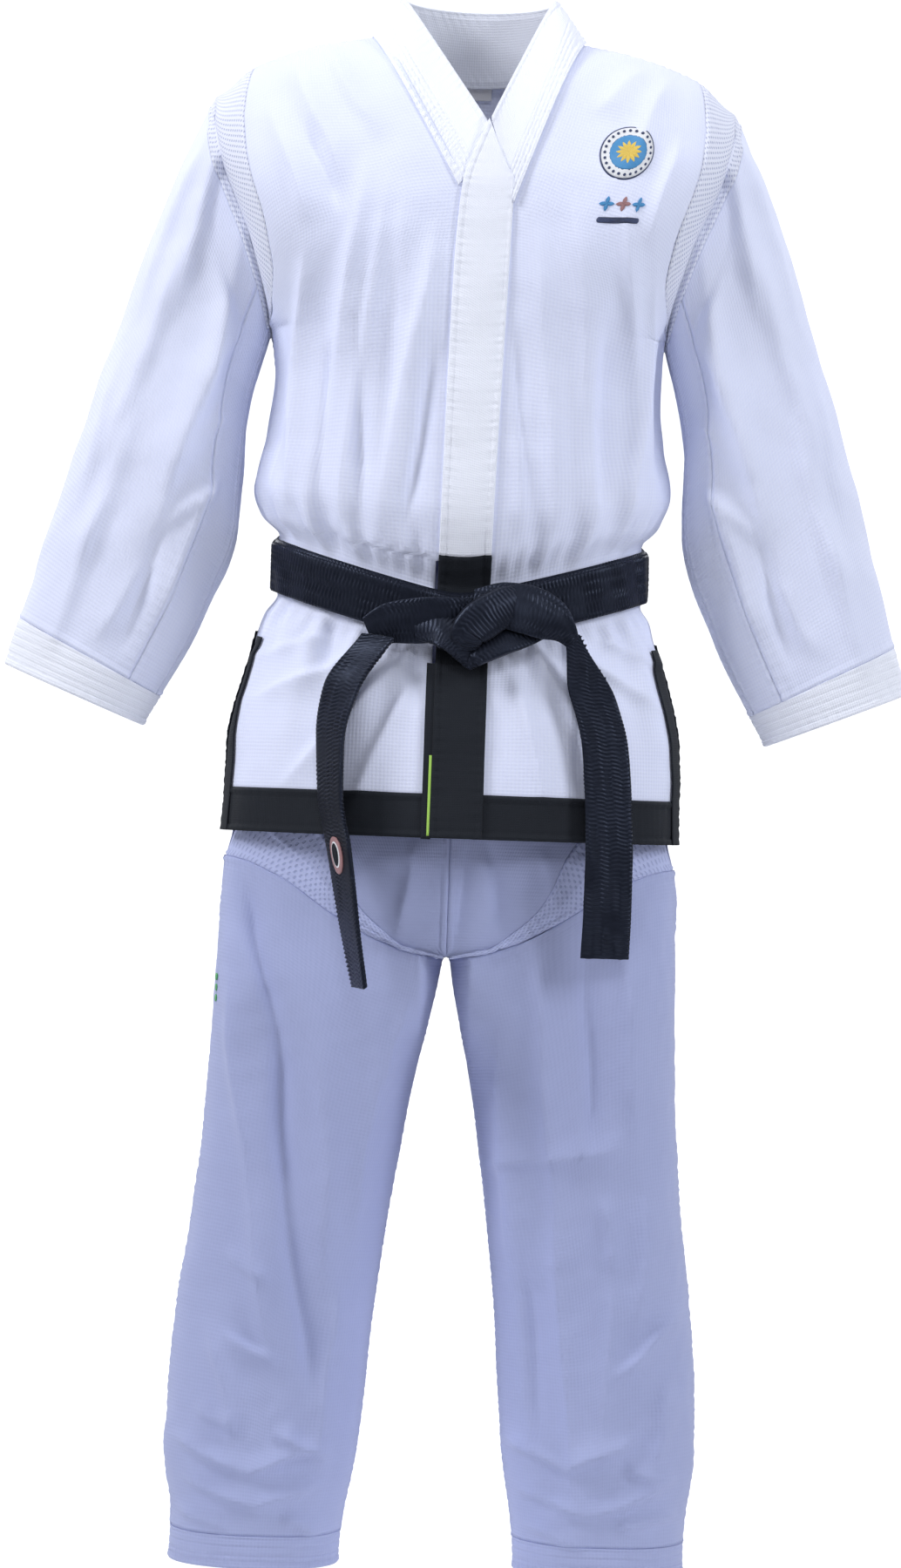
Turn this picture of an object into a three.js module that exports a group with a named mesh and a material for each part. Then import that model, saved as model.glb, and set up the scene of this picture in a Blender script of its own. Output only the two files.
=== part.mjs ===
// A white martial arts uniform: jacket with sewn placket, tied black belt and trousers.
// Millimetres. The origin is the middle of the waist at belt height.
// +X is the wearer's left, -Y the front and +Z up.
import * as THREE from 'three';

// ---- Driving dimensions ---------------------------------------------------------------
const CLOTH = 2; // one panel of cloth
const BAND = 2; // one band sewn on top of the cloth
const GAP = 0.6; // air between pieces that lie on each other
const SEAM = 1; // air between panels that meet edge to edge
const VENT_LEVEL = -60; // where the side vents of the skirt start
const HEM_LEVEL = -239; // lower edge of the jacket
const TRIM_HEIGHT = 40; // black band along the jacket hem
const FLAP_EDGE = { front: 80, back: 87 }; // angle at which the cloth of each flap ends, in degrees
const SHOULDER_REACH = 240; // half width of the shoulders
const SHOULDER_DROP = 170; // height over which chest and back round over the shoulder
const ARMHOLE_BOTTOM = 226;
const ARMHOLE_TOP = 441;
const ARMHOLE_DEPTH = 62; // half the armhole, front to back
const CHEST_SHARE = 0.7; // part of a panel's length that lies below the shoulder rounding
const WAIST_SHARE = 0.3; // part of a panel's length from the vents to the top of the waist
const WAIST_TOP = 100; // above this level the cloth no longer follows the belt
const TOP_SHARE = 0.995; // where the panels stop, just short of the shoulder seam
const MESH_START = 0.56; // share of a panel's length from which the armhole mesh replaces its edge
const MESH_SEAM = 1.7; // degrees of air on either side of the armhole seam
const EDGE_AIR = 2.5; // distance between the front panels and the bands
const NECK_HALF = { x: 97, y: 66, z: 500 }; // collar seam
const COLLAR_TOP = { x: 69, y: 58, z: 538 }; // upper edge of the collar
const V_POINT = { x: 12.6, z: 416 }; // where the lapels cross
const BELT_WIDTH = 45;
const BELT_CLOTH = 2.4;
const BELT_SIDE_HEIGHT = 8;
const BELT_FRONT_DIP = 53; // the knot pulls the belt down in front
const BELT_BACK_RISE = 27;
const PLACKET = { right: -19, left: 28, blackTop: 47 }; // edges of the front band
const FACING_WIDTH = 12; // black edge of the right front that shows beside the band
const CUFF_SHARE = 0.078; // part of the sleeve's length taken by the cuff
const MESH_SHARE = 0.1; // part of the sleeve's length taken by the shoulder mesh
const WAISTBAND_TOP = 25;
const WAISTBAND_HEIGHT = 42;
const LEG_END = -915;
const LEG_HEM = 30;

const FRONT = -1;
const BACK = 1;

// ---- Small helpers --------------------------------------------------------------------
const rad = (degrees) => degrees * Math.PI / 180;
const lerp = THREE.MathUtils.lerp;
const clamp = THREE.MathUtils.clamp;

/** A smooth function through [position, value] pairs, without overshoot, flat past both ends. */
function profile(points) {
  const secant = (i) => (points[i + 1][1] - points[i][1]) / (points[i + 1][0] - points[i][0]);
  const slope = (i) => {
    const before = secant(Math.max(i - 1, 0));
    const after = secant(Math.min(i, points.length - 2));
    return before * after <= 0 ? 0 : 2 * before * after / (before + after);
  };
  return (at) => {
    const t = clamp(at, points[0][0], points.at(-1)[0]);
    const i = Math.max(0, Math.min(points.findIndex((p) => p[0] >= t) - 1, points.length - 2));
    const [x0, y0] = points[i];
    const [x1, y1] = points[i + 1];
    const w = x1 - x0;
    const s = (t - x0) / w;
    const rise = y1 - y0;
    const bend = (1 - s) * (slope(i) * w - rise) - s * (slope(i + 1) * w - rise);
    return y0 + rise * s + s * (1 - s) * bend;
  };
}

// ---- Jacket body ----------------------------------------------------------------------
const halfWidth = profile([[-239, 212], [-150, 208], [-93, 194], [-45, 178], [-27, 168], [27, 168],
  [50, 184], [77, 193], [125, 183], [175, 178], [226, 182], [306, 203], [381, 233], [415, 240]]);
const frontDepth = profile([[-239, 150], [-150, 138], [-60, 117], [-27, 110], [27, 110], [50, 126],
  [77, 134], [200, 127], [330, 118], [430, 100], [520, 92]]);
const backDepth = profile([[-239, 135], [-150, 125], [-45, 108], [-27, 98], [27, 98], [50, 112],
  [77, 118], [200, 113], [330, 113], [430, 112], [520, 112]]);
const shoulderHeight = profile([[0, 520], [60, 512], [97, 500], [150, 490], [185, 478], [210, 466],
  [232, 446], [240, 441]]);

/** Height of the belt's middle line: a V in front, a low arch behind. */
function beltHeight(face, phi) {
  const side = Math.abs(Math.sin(rad(phi)));
  if (face === BACK) return BELT_SIDE_HEIGHT + BELT_BACK_RISE * Math.abs(Math.cos(rad(phi)));
  return BELT_SIDE_HEIGHT - BELT_FRONT_DIP * (1 - Math.sqrt(side * side + 0.01) / 1.005) ** 0.85;
}

/** Half depth of the armhole's edge at a level: an oval closed at both ends. */
function armholeDepth(level) {
  const below = 1 - clamp((level - ARMHOLE_BOTTOM) / 90, 0, 1);
  const above = clamp((level - (ARMHOLE_TOP - SHOULDER_DROP)) / SHOULDER_DROP, 0, 1);
  return ARMHOLE_DEPTH * Math.sqrt(1 - below * below) * Math.sqrt(1 - above * above);
}

/** A point of the jacket body. phi turns from the centre line to the side seam, in degrees. */
function torso(face, phi, level) {
  const s = Math.sin(rad(phi));
  const c = Math.max(0, Math.cos(rad(phi)));
  const bend = shoulderHeight(SHOULDER_REACH * Math.abs(s)) - SHOULDER_DROP;
  const over = clamp((level - bend) / SHOULDER_DROP, 0, 1);
  const depth = (face === FRONT ? frontDepth : backDepth)(level);
  const below = 1 - clamp((level - ARMHOLE_BOTTOM) / 90, 0, 1);
  const arm = ARMHOLE_DEPTH * Math.sqrt(1 - below * below);
  const y = face * (depth * c ** 0.9 + arm * s * s) * Math.sqrt(1 - over * over);
  const pull = clamp(1 - (Math.abs(level) - 30) / 130, 0, 1) ** 2;
  return new THREE.Vector3(halfWidth(level) * s, y, level + beltHeight(face, phi) * pull);
}

/** The level at share v of a panel that runs from the vents up to the shoulder seam. */
function panelLevel(phi, v, low = VENT_LEVEL) {
  const bend = shoulderHeight(SHOULDER_REACH * Math.abs(Math.sin(rad(phi)))) - SHOULDER_DROP;
  if (v < WAIST_SHARE) return lerp(low, WAIST_TOP, v / WAIST_SHARE);
  if (v < CHEST_SHARE) return lerp(WAIST_TOP, bend, (v - WAIST_SHARE) / (CHEST_SHARE - WAIST_SHARE));
  return bend + SHOULDER_DROP * Math.sin(rad(90 * (v - CHEST_SHARE) / (1 - CHEST_SHARE)));
}

// ---- Solids from surfaces -------------------------------------------------------------
/**
 * A closed sheet on a surface(u, v) whose u runs anticlockwise seen from above and whose
 * v runs up, so that its outer face points outwards. steps is the number of equal steps in
 * v, or the list of its rows. lift moves the outer face outwards.
 */
function sheetGeometry(surface, across, steps, { thickness = CLOTH, lift = 0, ring = false } = {}) {
  const e = 1e-3;
  const outer = [];
  const inner = [];
  const columns = ring ? across : across + 1;
  const rows = Array.isArray(steps) ? steps : Array.from({ length: steps + 1 }, (_, j) => j / steps);
  const along = rows.length - 1;
  for (let j = 0; j <= along; j += 1) {
    for (let i = 0; i < columns; i += 1) {
      const u = i / across;
      const v = rows[j];
      const point = surface(u, v);
      const wide = surface(Math.min(u + e, 1), v).sub(surface(Math.max(u - e, 0), v));
      const tall = surface(u, Math.min(v + e, 1)).sub(surface(u, Math.max(v - e, 0)));
      const normal = wide.cross(tall).normalize();
      outer.push(point.clone().addScaledVector(normal, lift));
      inner.push(point.clone().addScaledVector(normal, lift - thickness));
    }
  }
  const count = outer.length;
  const at = (i, j) => j * columns + i % columns;
  const index = [];
  const quad = (a, b, c, d) => index.push(a, b, c, a, c, d);
  for (let j = 0; j < along; j += 1) {
    for (let i = 0; i < across; i += 1) {
      const [a, b, c, d] = [at(i, j), at(i + 1, j), at(i + 1, j + 1), at(i, j + 1)];
      quad(a, b, c, d);
      quad(d + count, c + count, b + count, a + count);
    }
  }
  for (let i = 0; i < across; i += 1) {
    quad(at(i, 0) + count, at(i + 1, 0) + count, at(i + 1, 0), at(i, 0));
    quad(at(i, along), at(i + 1, along), at(i + 1, along) + count, at(i, along) + count);
  }
  if (!ring) {
    for (let j = 0; j < along; j += 1) {
      quad(at(0, j), at(0, j + 1), at(0, j + 1) + count, at(0, j) + count);
      quad(at(across, j) + count, at(across, j + 1) + count, at(across, j + 1), at(across, j));
    }
  }
  const geometry = new THREE.BufferGeometry();
  geometry.setAttribute('position', new THREE.Float32BufferAttribute(
    outer.concat(inner).flatMap((p) => [p.x, p.y, p.z]), 3));
  geometry.setIndex(index);
  geometry.computeVertexNormals();
  return geometry;
}

/** The same surface on the wearer's other side, with u turned round to keep it facing out. */
const mirrored = (surface) => (u, v) => {
  const p = surface(1 - u, v);
  return p.setX(-p.x);
};

const uniform = new THREE.Group();
const cloths = {
  jacket_white: { color: '#dfe3f6', roughness: 0.85 },
  trouser_white: { color: '#c3c9e4', roughness: 0.88 },
  mesh_white: { color: '#d3d8ee', roughness: 0.92 },
  trim_black: { color: '#0c1016', roughness: 0.8 },
  belt_satin: { color: '#1a1d24', roughness: 0.42 },
  piping_green: { color: '#9fd14a', roughness: 0.8 },
  elastic: { color: '#e6e8ee', roughness: 0.9 },
  label_white: { color: '#f2f3f6', roughness: 0.7 },
  badge_blue: { color: '#2f6fb4', roughness: 0.6 },
  mark_navy: { color: '#18264f', roughness: 0.6 },
  tag_green: { color: '#3f9a4c', roughness: 0.7 },
  label_rose: { color: '#b98a8c', roughness: 0.6 },
};

function add(name, cloth, geometry) {
  const material = new THREE.MeshStandardMaterial({ ...cloths[cloth], metalness: 0 });
  const mesh = new THREE.Mesh(geometry, material);
  mesh.name = name;
  uniform.add(mesh);
}

/** Adds a sheet on the wearer's left and its mirror image on the right. */
function addPair(name, cloth, surface, across, along, options) {
  add(`${name}_left`, cloth, sheetGeometry(surface, across, along, options));
  add(`${name}_right`, cloth, sheetGeometry(mirrored(surface), across, along, options));
}

// ---- Jacket panels --------------------------------------------------------------------
// Distance from the centre line to each front panel's inner edge, beside the band and lapel.
const whiteRight = profile([[44, -19], [271, -15], [351, -10], [V_POINT.z, V_POINT.x]]);
const whiteLeft = (level) => lerp(PLACKET.left, 37, clamp((level - 44) / 290, 0, 1));
const LAPEL_FOOT = { left: { x: 38.5, z: 337 }, right: { x: 13.5, z: 352 } };
const lapelOuter = (foot, z) => lerp(foot.x, NECK_HALF.x, (z - foot.z) / (NECK_HALF.z - foot.z));
function leftEdge(level) {
  const foot = LAPEL_FOOT.left;
  return (level < foot.z ? whiteLeft(level) : lapelOuter(foot, level)) + EDGE_AIR;
}
function rightEdge(level) {
  const foot = LAPEL_FOOT.right;
  return (level < foot.z ? -whiteRight(level) : lapelOuter(foot, level)) + EDGE_AIR;
}
// Where the body cloth ends and the armhole mesh starts.
const armholeSeam = profile([[0, 89.2], [MESH_START, 89.2], [0.68, 66], [1, 57]]);
const clothEdge = (share) => armholeSeam(share) - (share > MESH_START ? MESH_SEAM : 0);
// Rows close together at the waist, where the belt draws the cloth in.
const BODY_ROWS = [0, 0.03, 0.06, 0.17, 0.2, 0.23, 0.26, 0.31, 0.39, 0.48, 0.56, 0.64, 0.71, 0.77, 0.83, 0.89,
  0.95, 1];

/** A front panel from the vents to the shoulder, between its inner edge and the side seam. */
function frontPanel(edge) {
  const edgeAngle = (level) => THREE.MathUtils.radToDeg(Math.asin(edge(level) / halfWidth(level)));
  return (u, v) => {
    const share = v * TOP_SHARE;
    const guess = edgeAngle(panelLevel(15, share));
    const inner = edgeAngle(panelLevel(guess, share));
    const phi = lerp(inner, clothEdge(share), u);
    return torso(FRONT, phi, panelLevel(phi, share));
  };
}

/** The back panel's top share: level with the shoulder seam, with a scoop for the neck. */
function backTop(phi) {
  const reach = clamp(Math.abs(phi) / 24.2, 0, 1);
  const scoop = 39 * Math.sqrt(1 - reach * reach) / 90;
  return Math.min(TOP_SHARE, 1 - (1 - CHEST_SHARE) * scoop);
}

function backPanel(u, v) {
  const phi = clothEdge(v * TOP_SHARE) * (1 - 2 * u);
  const share = v * backTop(phi);
  return torso(BACK, phi, panelLevel(phi, share));
}

/** The mesh strip round the torso side of the armhole, from front underarm over to the back. */
function armholeMesh(u, v) {
  const start = 0.67;
  const onFront = u < 0.5;
  const share = onFront ? lerp(start, 1, u * 2) : lerp(1, start, u * 2 - 1);
  const phi = lerp(88.8, armholeSeam(share) + MESH_SEAM, v);
  return torso(onFront ? FRONT : BACK, phi, panelLevel(phi, Math.min(share, 0.9999)));
}

/** Angle of a point of the jacket at a distance from the centre line. */
const angleAt = (x) => (level) => THREE.MathUtils.radToDeg(Math.asin(x / halfWidth(level)));

function skirtFront(inner) {
  return (u, v) => {
    const level = lerp(HEM_LEVEL + TRIM_HEIGHT + SEAM, VENT_LEVEL - SEAM, v);
    return torso(FRONT, lerp(inner(level), FLAP_EDGE.front, u), level);
  };
}

function skirtBack(u, v) {
  const phi = lerp(FLAP_EDGE.back, -FLAP_EDGE.back, u);
  return torso(BACK, phi, lerp(HEM_LEVEL + TRIM_HEIGHT + SEAM, VENT_LEVEL - SEAM, v));
}

function hemFront(inner) {
  return (u, v) => {
    const level = lerp(HEM_LEVEL, HEM_LEVEL + TRIM_HEIGHT, v);
    return torso(FRONT, lerp(inner(level), FLAP_EDGE.front, u), level);
  };
}

function hemBack(u, v) {
  const phi = lerp(FLAP_EDGE.back, -FLAP_EDGE.back, u);
  return torso(BACK, phi, lerp(HEM_LEVEL, HEM_LEVEL + TRIM_HEIGHT, v));
}

/** The black edging of a vent: a narrow upright strip at the side of the front or back flap. */
const ventTrim = (face, from, to) => (u, v) => torso(
  face, lerp(from, to, u), lerp(HEM_LEVEL, VENT_LEVEL - SEAM, v));

add('back_panel', 'jacket_white', sheetGeometry(backPanel, 14, BODY_ROWS));
add('front_panel_left', 'jacket_white', sheetGeometry(frontPanel(leftEdge), 8, BODY_ROWS));
add('front_panel_right', 'jacket_white', sheetGeometry(mirrored(frontPanel(rightEdge)), 8, BODY_ROWS));
addPair('armhole_mesh', 'mesh_white', armholeMesh, 20, 2);
const flapLeft = angleAt(PLACKET.left + SEAM);
const flapRight = angleAt(FACING_WIDTH + SEAM - PLACKET.right);
add('skirt_front_left', 'jacket_white', sheetGeometry(skirtFront(flapLeft), 7, 4));
add('skirt_front_right', 'jacket_white', sheetGeometry(mirrored(skirtFront(flapRight)), 7, 4));
add('skirt_back', 'jacket_white', sheetGeometry(skirtBack, 14, 4));
add('hem_trim_front_left', 'trim_black', sheetGeometry(hemFront(flapLeft), 7, 1));
add('hem_trim_front_right', 'trim_black', sheetGeometry(mirrored(hemFront(flapRight)), 7, 1));
add('hem_trim_back', 'trim_black', sheetGeometry(hemBack, 14, 1));
addPair('vent_trim_front', 'trim_black', ventTrim(FRONT, FLAP_EDGE.front + 0.5, FLAP_EDGE.front + 4.4), 1, 5);
addPair('vent_trim_back', 'trim_black', ventTrim(BACK, 90, FLAP_EDGE.back + 0.5), 1, 5);

// ---- Front band, lapels and collar ----------------------------------------------------
/** A point of the front at a given x, lifted by the sheet's own lift. */
function onFront(x, level) {
  return torso(FRONT, THREE.MathUtils.radToDeg(Math.asin(x / halfWidth(level))), level);
}

function band(right, left, low, high) {
  return (u, v) => {
    const level = lerp(low, high, v);
    return onFront(lerp(right(level), left(level), u), level);
  };
}

const bandLift = GAP;
const blackRight = () => PLACKET.right;
const blackLeft = () => PLACKET.left;

/** The white band: its top edge slants from the crossing of the lapels down to the left. */
function placketUpper(u, v) {
  const low = PLACKET.blackTop + SEAM;
  const level = lerp(low, lerp(V_POINT.z - 4, LAPEL_FOOT.left.z - 3, u), v);
  return onFront(lerp(whiteRight(level), whiteLeft(level), u), level);
}

const PLACKET_ROWS = [0, 0.04, 0.09, 0.14, 0.25, 0.4, 0.55, 0.7, 0.85, 1];
add('placket_upper', 'jacket_white', sheetGeometry(placketUpper, 2, PLACKET_ROWS,
  { lift: bandLift, thickness: BAND }));
add('placket_black_upper', 'trim_black', sheetGeometry(
  band(blackRight, blackLeft, VENT_LEVEL + SEAM, PLACKET.blackTop), 2, [0, 0.14, 0.28, 0.79, 1],
  { lift: bandLift, thickness: BAND }));
add('placket_black_lower', 'trim_black', sheetGeometry(
  band(blackRight, blackLeft, HEM_LEVEL, VENT_LEVEL - SEAM), 2, 4,
  { lift: bandLift, thickness: BAND }));
const pipingEdge = (inset) => () => PLACKET.right - inset;
add('placket_piping', 'piping_green', sheetGeometry(
  band(pipingEdge(3.6), pipingEdge(0.8), HEM_LEVEL, HEM_LEVEL + 75), 1, 2,
  { lift: bandLift, thickness: BAND }));
add('placket_facing', 'trim_black', sheetGeometry(
  band(pipingEdge(FACING_WIDTH), pipingEdge(4.4), HEM_LEVEL, VENT_LEVEL - SEAM), 1, 4,
  { lift: bandLift, thickness: BAND }));

/** A lapel: from its outer edge on the chest to its free inner edge along the neck opening. */
function lapel(outerStart, innerStart) {
  return (u, v) => {
    const level = lerp(outerStart.z, NECK_HALF.z - 0.4, v);
    const outer = onFront(lapelOuter(outerStart, level), level);
    const start = onFront(innerStart.x, innerStart.z);
    const inner = new THREE.Vector3(
      lerp(innerStart.x, COLLAR_TOP.x, v),
      lerp(start.y, -7, v),
      lerp(innerStart.z, COLLAR_TOP.z, v));
    return inner.lerp(outer, u);
  };
}
const lapelLift = BAND;
const leftLapel = lapel(LAPEL_FOOT.left, { x: 14.5, z: 418 });
const rightLapel = lapel(LAPEL_FOOT.right, { x: -8.5, z: 420 });
add('lapel_left', 'jacket_white', sheetGeometry(leftLapel, 2, 9, { lift: lapelLift, thickness: BAND }));
add('lapel_right', 'jacket_white', sheetGeometry(mirrored(rightLapel), 2, 9,
  { lift: lapelLift, thickness: BAND }));

function collarBack(u, v) {
  const turn = rad(lerp(1.5, 178.5, u));
  const x = lerp(NECK_HALF.x, COLLAR_TOP.x, v) * Math.cos(turn);
  const y = lerp(0, -5, v) + lerp(NECK_HALF.y, COLLAR_TOP.y, v) * Math.sin(turn);
  const z = lerp(NECK_HALF.z + 1.5 - 8 * Math.sin(turn), COLLAR_TOP.z - 2 * Math.sin(turn), v);
  return new THREE.Vector3(x, y, z);
}
add('collar_back', 'jacket_white', sheetGeometry(collarBack, 12, 2, { lift: BAND / 2, thickness: BAND }));

/** A small patch laid on a surface: half sizes in mm around a point of that surface. */
function patch(surface, centre, half, shape = (a, b) => [a, b]) {
  const e = 1e-3;
  const perU = surface(centre.u + e, centre.v).distanceTo(surface(centre.u - e, centre.v)) / (2 * e);
  const perV = surface(centre.u, centre.v + e).distanceTo(surface(centre.u, centre.v - e)) / (2 * e);
  return (u, v) => {
    const [a, b] = shape(2 * u - 1, 2 * v - 1);
    return surface(centre.u + a * half.wide / perU, centre.v + b * half.tall / perV);
  };
}
/** Bends a square onto a disc. */
const disc = (a, b) => [a * Math.sqrt(1 - b * b / 2), b * Math.sqrt(1 - a * a / 2)];
const chest = (u, v) => torso(FRONT, 90 * u, 500 * v);
const nape = (u, v) => torso(BACK, 90 * (0.5 - u), 500 * v);
add('chest_badge', 'badge_blue', sheetGeometry(
  patch(chest, { u: 0.403, v: 0.776 }, { wide: 30, tall: 30 }, disc), 6, 6, { lift: 2, thickness: 1.4 }));
add('chest_mark', 'mark_navy', sheetGeometry(
  patch(chest, { u: 0.425, v: 0.676 }, { wide: 30, tall: 21 }), 3, 3, { lift: 2, thickness: 1.4 }));
add('neck_label', 'label_white', sheetGeometry(
  patch(nape, { u: 0.49, v: 0.928 }, { wide: 11, tall: 8 }), 2, 2,
  { lift: -3 * CLOTH, thickness: 0.8 }));

// ---- Sleeves --------------------------------------------------------------------------
// Edges of the left sleeve seen from the front, from the cuff (0) to the armhole (1).
const outerX = profile([[0, 418], [0.26, 378], [0.54, 332], [0.79, 288], [0.91, 266], [1, 240]]);
const outerZ = profile([[0, -93], [0.26, 50], [0.54, 200], [0.79, 330], [0.91, 393], [1, 441]]);
const innerX = profile([[0, 290], [0.27, 238], [0.52, 206], [0.76, 203], [0.9, 189], [1, 182]]);
const innerZ = profile([[0, -145], [0.27, -50], [0.52, 45], [0.76, 143], [0.9, 192], [1, 226]]);
const sleeveDepth = profile([[0, 50], [0.3, 55], [0.6, 60], [1, 62]]);

/** A point of the left sleeve. angle: 180 inner edge, 270 front, 360 outer edge, 450 back. */
function sleeve(angle, along) {
  const c = Math.cos(rad(angle));
  const s = Math.sin(rad(angle));
  const tube = new THREE.Vector3(
    lerp(innerX(along), outerX(along), 0.5 + c / 2),
    sleeveDepth(along) * s,
    lerp(innerZ(along), outerZ(along), 0.5 + c / 2));
  const level = lerp(ARMHOLE_BOTTOM, ARMHOLE_TOP, 0.5 + c / 2);
  const hole = new THREE.Vector3(halfWidth(level), Math.sign(s) * armholeDepth(level), level);
  const join = THREE.MathUtils.smoothstep(along, 0.7, 1);
  return tube.lerp(hole, join);
}

const sleeveRing = (low, high) => (u, v) => sleeve(lerp(180, 540, u), lerp(low, high, v));
const sleeveStrip = (from, to, low, high) => (u, v) => sleeve(lerp(from, to, u), lerp(low, high, v));
const GUSSET = { from: 198, to: 234 };
const SLEEVE_TOP = 1 - MESH_SHARE;
addPair('sleeve_mesh', 'mesh_white', sleeveRing(SLEEVE_TOP + 0.004, 0.965), 20, 2, { ring: true });
addPair('sleeve_main', 'jacket_white',
  sleeveStrip(GUSSET.to + 0.5, GUSSET.from + 359.5, CUFF_SHARE + 0.004, SLEEVE_TOP), 18, 9);
addPair('sleeve_gusset', 'jacket_white',
  sleeveStrip(GUSSET.from, GUSSET.to, CUFF_SHARE + 0.004, SLEEVE_TOP), 3, 9);
addPair('cuff', 'jacket_white', sleeveRing(0, CUFF_SHARE), 20, 1, { ring: true });

// ---- Belt -----------------------------------------------------------------------------
/** The belt round the waist: a straight band whose middle line dips to the knot. */
function beltRing(offset, drop) {
  return (u, v) => {
    const turn = 360 * u;
    const face = turn < 90 || turn > 270 ? FRONT : BACK;
    const s = Math.sin(rad(turn));
    const c = Math.abs(Math.cos(rad(turn)));
    const depth = face === FRONT ? frontDepth(0) : backDepth(0);
    const height = beltHeight(face, turn) + drop + BELT_WIDTH * (v - 0.5);
    return new THREE.Vector3(
      (halfWidth(0) + offset) * s, face * (depth * c ** 0.9 + offset * c), height);
  };
}
const innerWrap = bandLift + 2 * GAP + BELT_CLOTH;
const outerWrap = innerWrap + GAP + BELT_CLOTH;
add('belt_wrap_inner', 'belt_satin', sheetGeometry(beltRing(innerWrap, 1), 36, 1,
  { thickness: BELT_CLOTH, ring: true }));
add('belt_wrap_outer', 'belt_satin', sheetGeometry(beltRing(outerWrap, -1), 36, 1,
  { thickness: BELT_CLOTH, ring: true }));

/** The knot: the outline of the folded crossing of the two belt ends, with rounded faces. */
function beltKnot() {
  const outline = new THREE.Shape();
  outline.moveTo(-56, -50);
  outline.lineTo(-34, -27);
  outline.lineTo(44, -14);
  outline.quadraticCurveTo(88, -12, 96, -46);
  outline.lineTo(50, -64);
  outline.lineTo(10, -84);
  outline.lineTo(-28, -66);
  outline.closePath();
  const body = { depth: 16, bevelEnabled: true, bevelThickness: 6, bevelSize: 5, bevelSegments: 2 };
  const geometry = new THREE.ExtrudeGeometry(outline, { ...body, bevelOffset: -5, curveSegments: 4 });
  geometry.rotateX(Math.PI / 2);
  geometry.translate(0, -frontDepth(0) - outerWrap - 4 * GAP - body.bevelThickness, 0);
  return geometry;
}
add('belt_knot', 'belt_satin', beltKnot());

/** A hanging belt end: a strip along a path of [x, y, z, turn about Z in degrees]. */
function beltTail(path) {
  const steps = path.length - 1;
  const parts = [0, 1, 2, 3].map((k) => profile(path.map((p, i) => [i / steps, p[k]])));
  return (u, v) => {
    const [x, y, z, turn] = parts.map((part) => part(1 - v));
    const side = (u - 0.5) * BELT_WIDTH;
    return new THREE.Vector3(x + side * Math.cos(rad(turn)), y + side * Math.sin(rad(turn)), z);
  };
}
const leftTail = beltTail([[108, -123, -56, 8], [124, -123, -100, 14], [137, -124, -150, 18],
  [142, -130, -205, 18], [144, -136, -255, 16], [144, -136, -300, 14], [143, -134, -343, 12]]);
const rightTail = beltTail([[-81, -132, -70, -30], [-104, -134, -105, -44], [-113, -142, -150, -56],
  [-111, -150, -205, -60], [-101, -155, -255, -62], [-90, -156, -320, -68], [-79, -155, -376, -74]]);
const tailSolid = { thickness: 3, lift: 1.5 };
add('belt_tail_left', 'belt_satin', sheetGeometry(leftTail, 2, 8, tailSolid));
add('belt_tail_right', 'belt_satin', sheetGeometry(rightTail, 2, 9, tailSolid));
add('belt_label', 'label_rose', sheetGeometry(
  patch(rightTail, { u: 0.5, v: 0.33 }, { wide: 13, tall: 23 }), 2, 3, { lift: 2.9, thickness: 0.8 }));

// ---- Trousers -------------------------------------------------------------------------
const hipWidth = profile([[-345, 211], [-300, 210], [-265, 208], [-239, 202], [-180, 197], [-120, 181],
  [-60, 167], [-20, 161], [25, 160]]);
const hipFront = profile([[-345, 113], [-239, 117], [-120, 111], [-60, 106], [-20, 101], [25, 100]]);
const hipBack = profile([[-345, 114], [-300, 118], [-200, 118], [-120, 108], [-60, 97], [-20, 90],
  [25, 90]]);
// Top edge of the legs, by distance from the centre line.
const legTop = profile([[0, -353], [62, -334], [104, -312], [154, -280], [190, -266], [215, -262]]);

function hips(face, phi, z) {
  const s = Math.sin(rad(phi));
  const c = Math.max(0, Math.cos(rad(phi)));
  const depth = (face === FRONT ? hipFront : hipBack)(z);
  return new THREE.Vector3(hipWidth(z) * s, face * depth * c ** 0.9, z);
}

function hipRing(offset, low, high) {
  return (u, v) => {
    const turn = 360 * u;
    const face = turn < 90 || turn > 270 ? FRONT : BACK;
    const z = lerp(low, high, v);
    const p = hips(face, face === FRONT ? turn : 180 - turn, z);
    const c = Math.abs(Math.cos(rad(turn)));
    return p.add(new THREE.Vector3(offset * Math.sin(rad(turn)), face * offset * c, 0));
  };
}
const WAISTBAND_LOW = WAISTBAND_TOP - WAISTBAND_HEIGHT;
add('waistband', 'trouser_white', sheetGeometry(hipRing(0, WAISTBAND_LOW, WAISTBAND_TOP), 28, 1,
  { ring: true }));
add('waist_elastic', 'elastic', sheetGeometry(
  hipRing(-CLOTH - GAP, WAISTBAND_LOW + 2, WAISTBAND_TOP - 2), 28, 1, { ring: true, thickness: 1.6 }));

// The front rise ends along the upper mesh seam, which sweeps from the side to the crotch.
const RISE_LOW = -315;
const riseEdge = profile([[-315, 19], [-301, 23], [-253, 32], [-231, 37], [-190, 53], [-150, 89.4],
  [-17, 89.4]]);
function riseFront(u, v) {
  const z = lerp(RISE_LOW, WAISTBAND_LOW - SEAM, v);
  return hips(FRONT, lerp(0.3, riseEdge(z), u), z);
}

/** The seat reaches from the waistband to the top of the legs. */
function seat(u, v) {
  const phi = lerp(89.4, 0.3, u);
  const low = Math.max(legTop(205 * Math.sin(rad(phi))) + 6, RISE_LOW);
  return hips(BACK, phi, lerp(low, WAISTBAND_LOW - SEAM, v));
}

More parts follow.
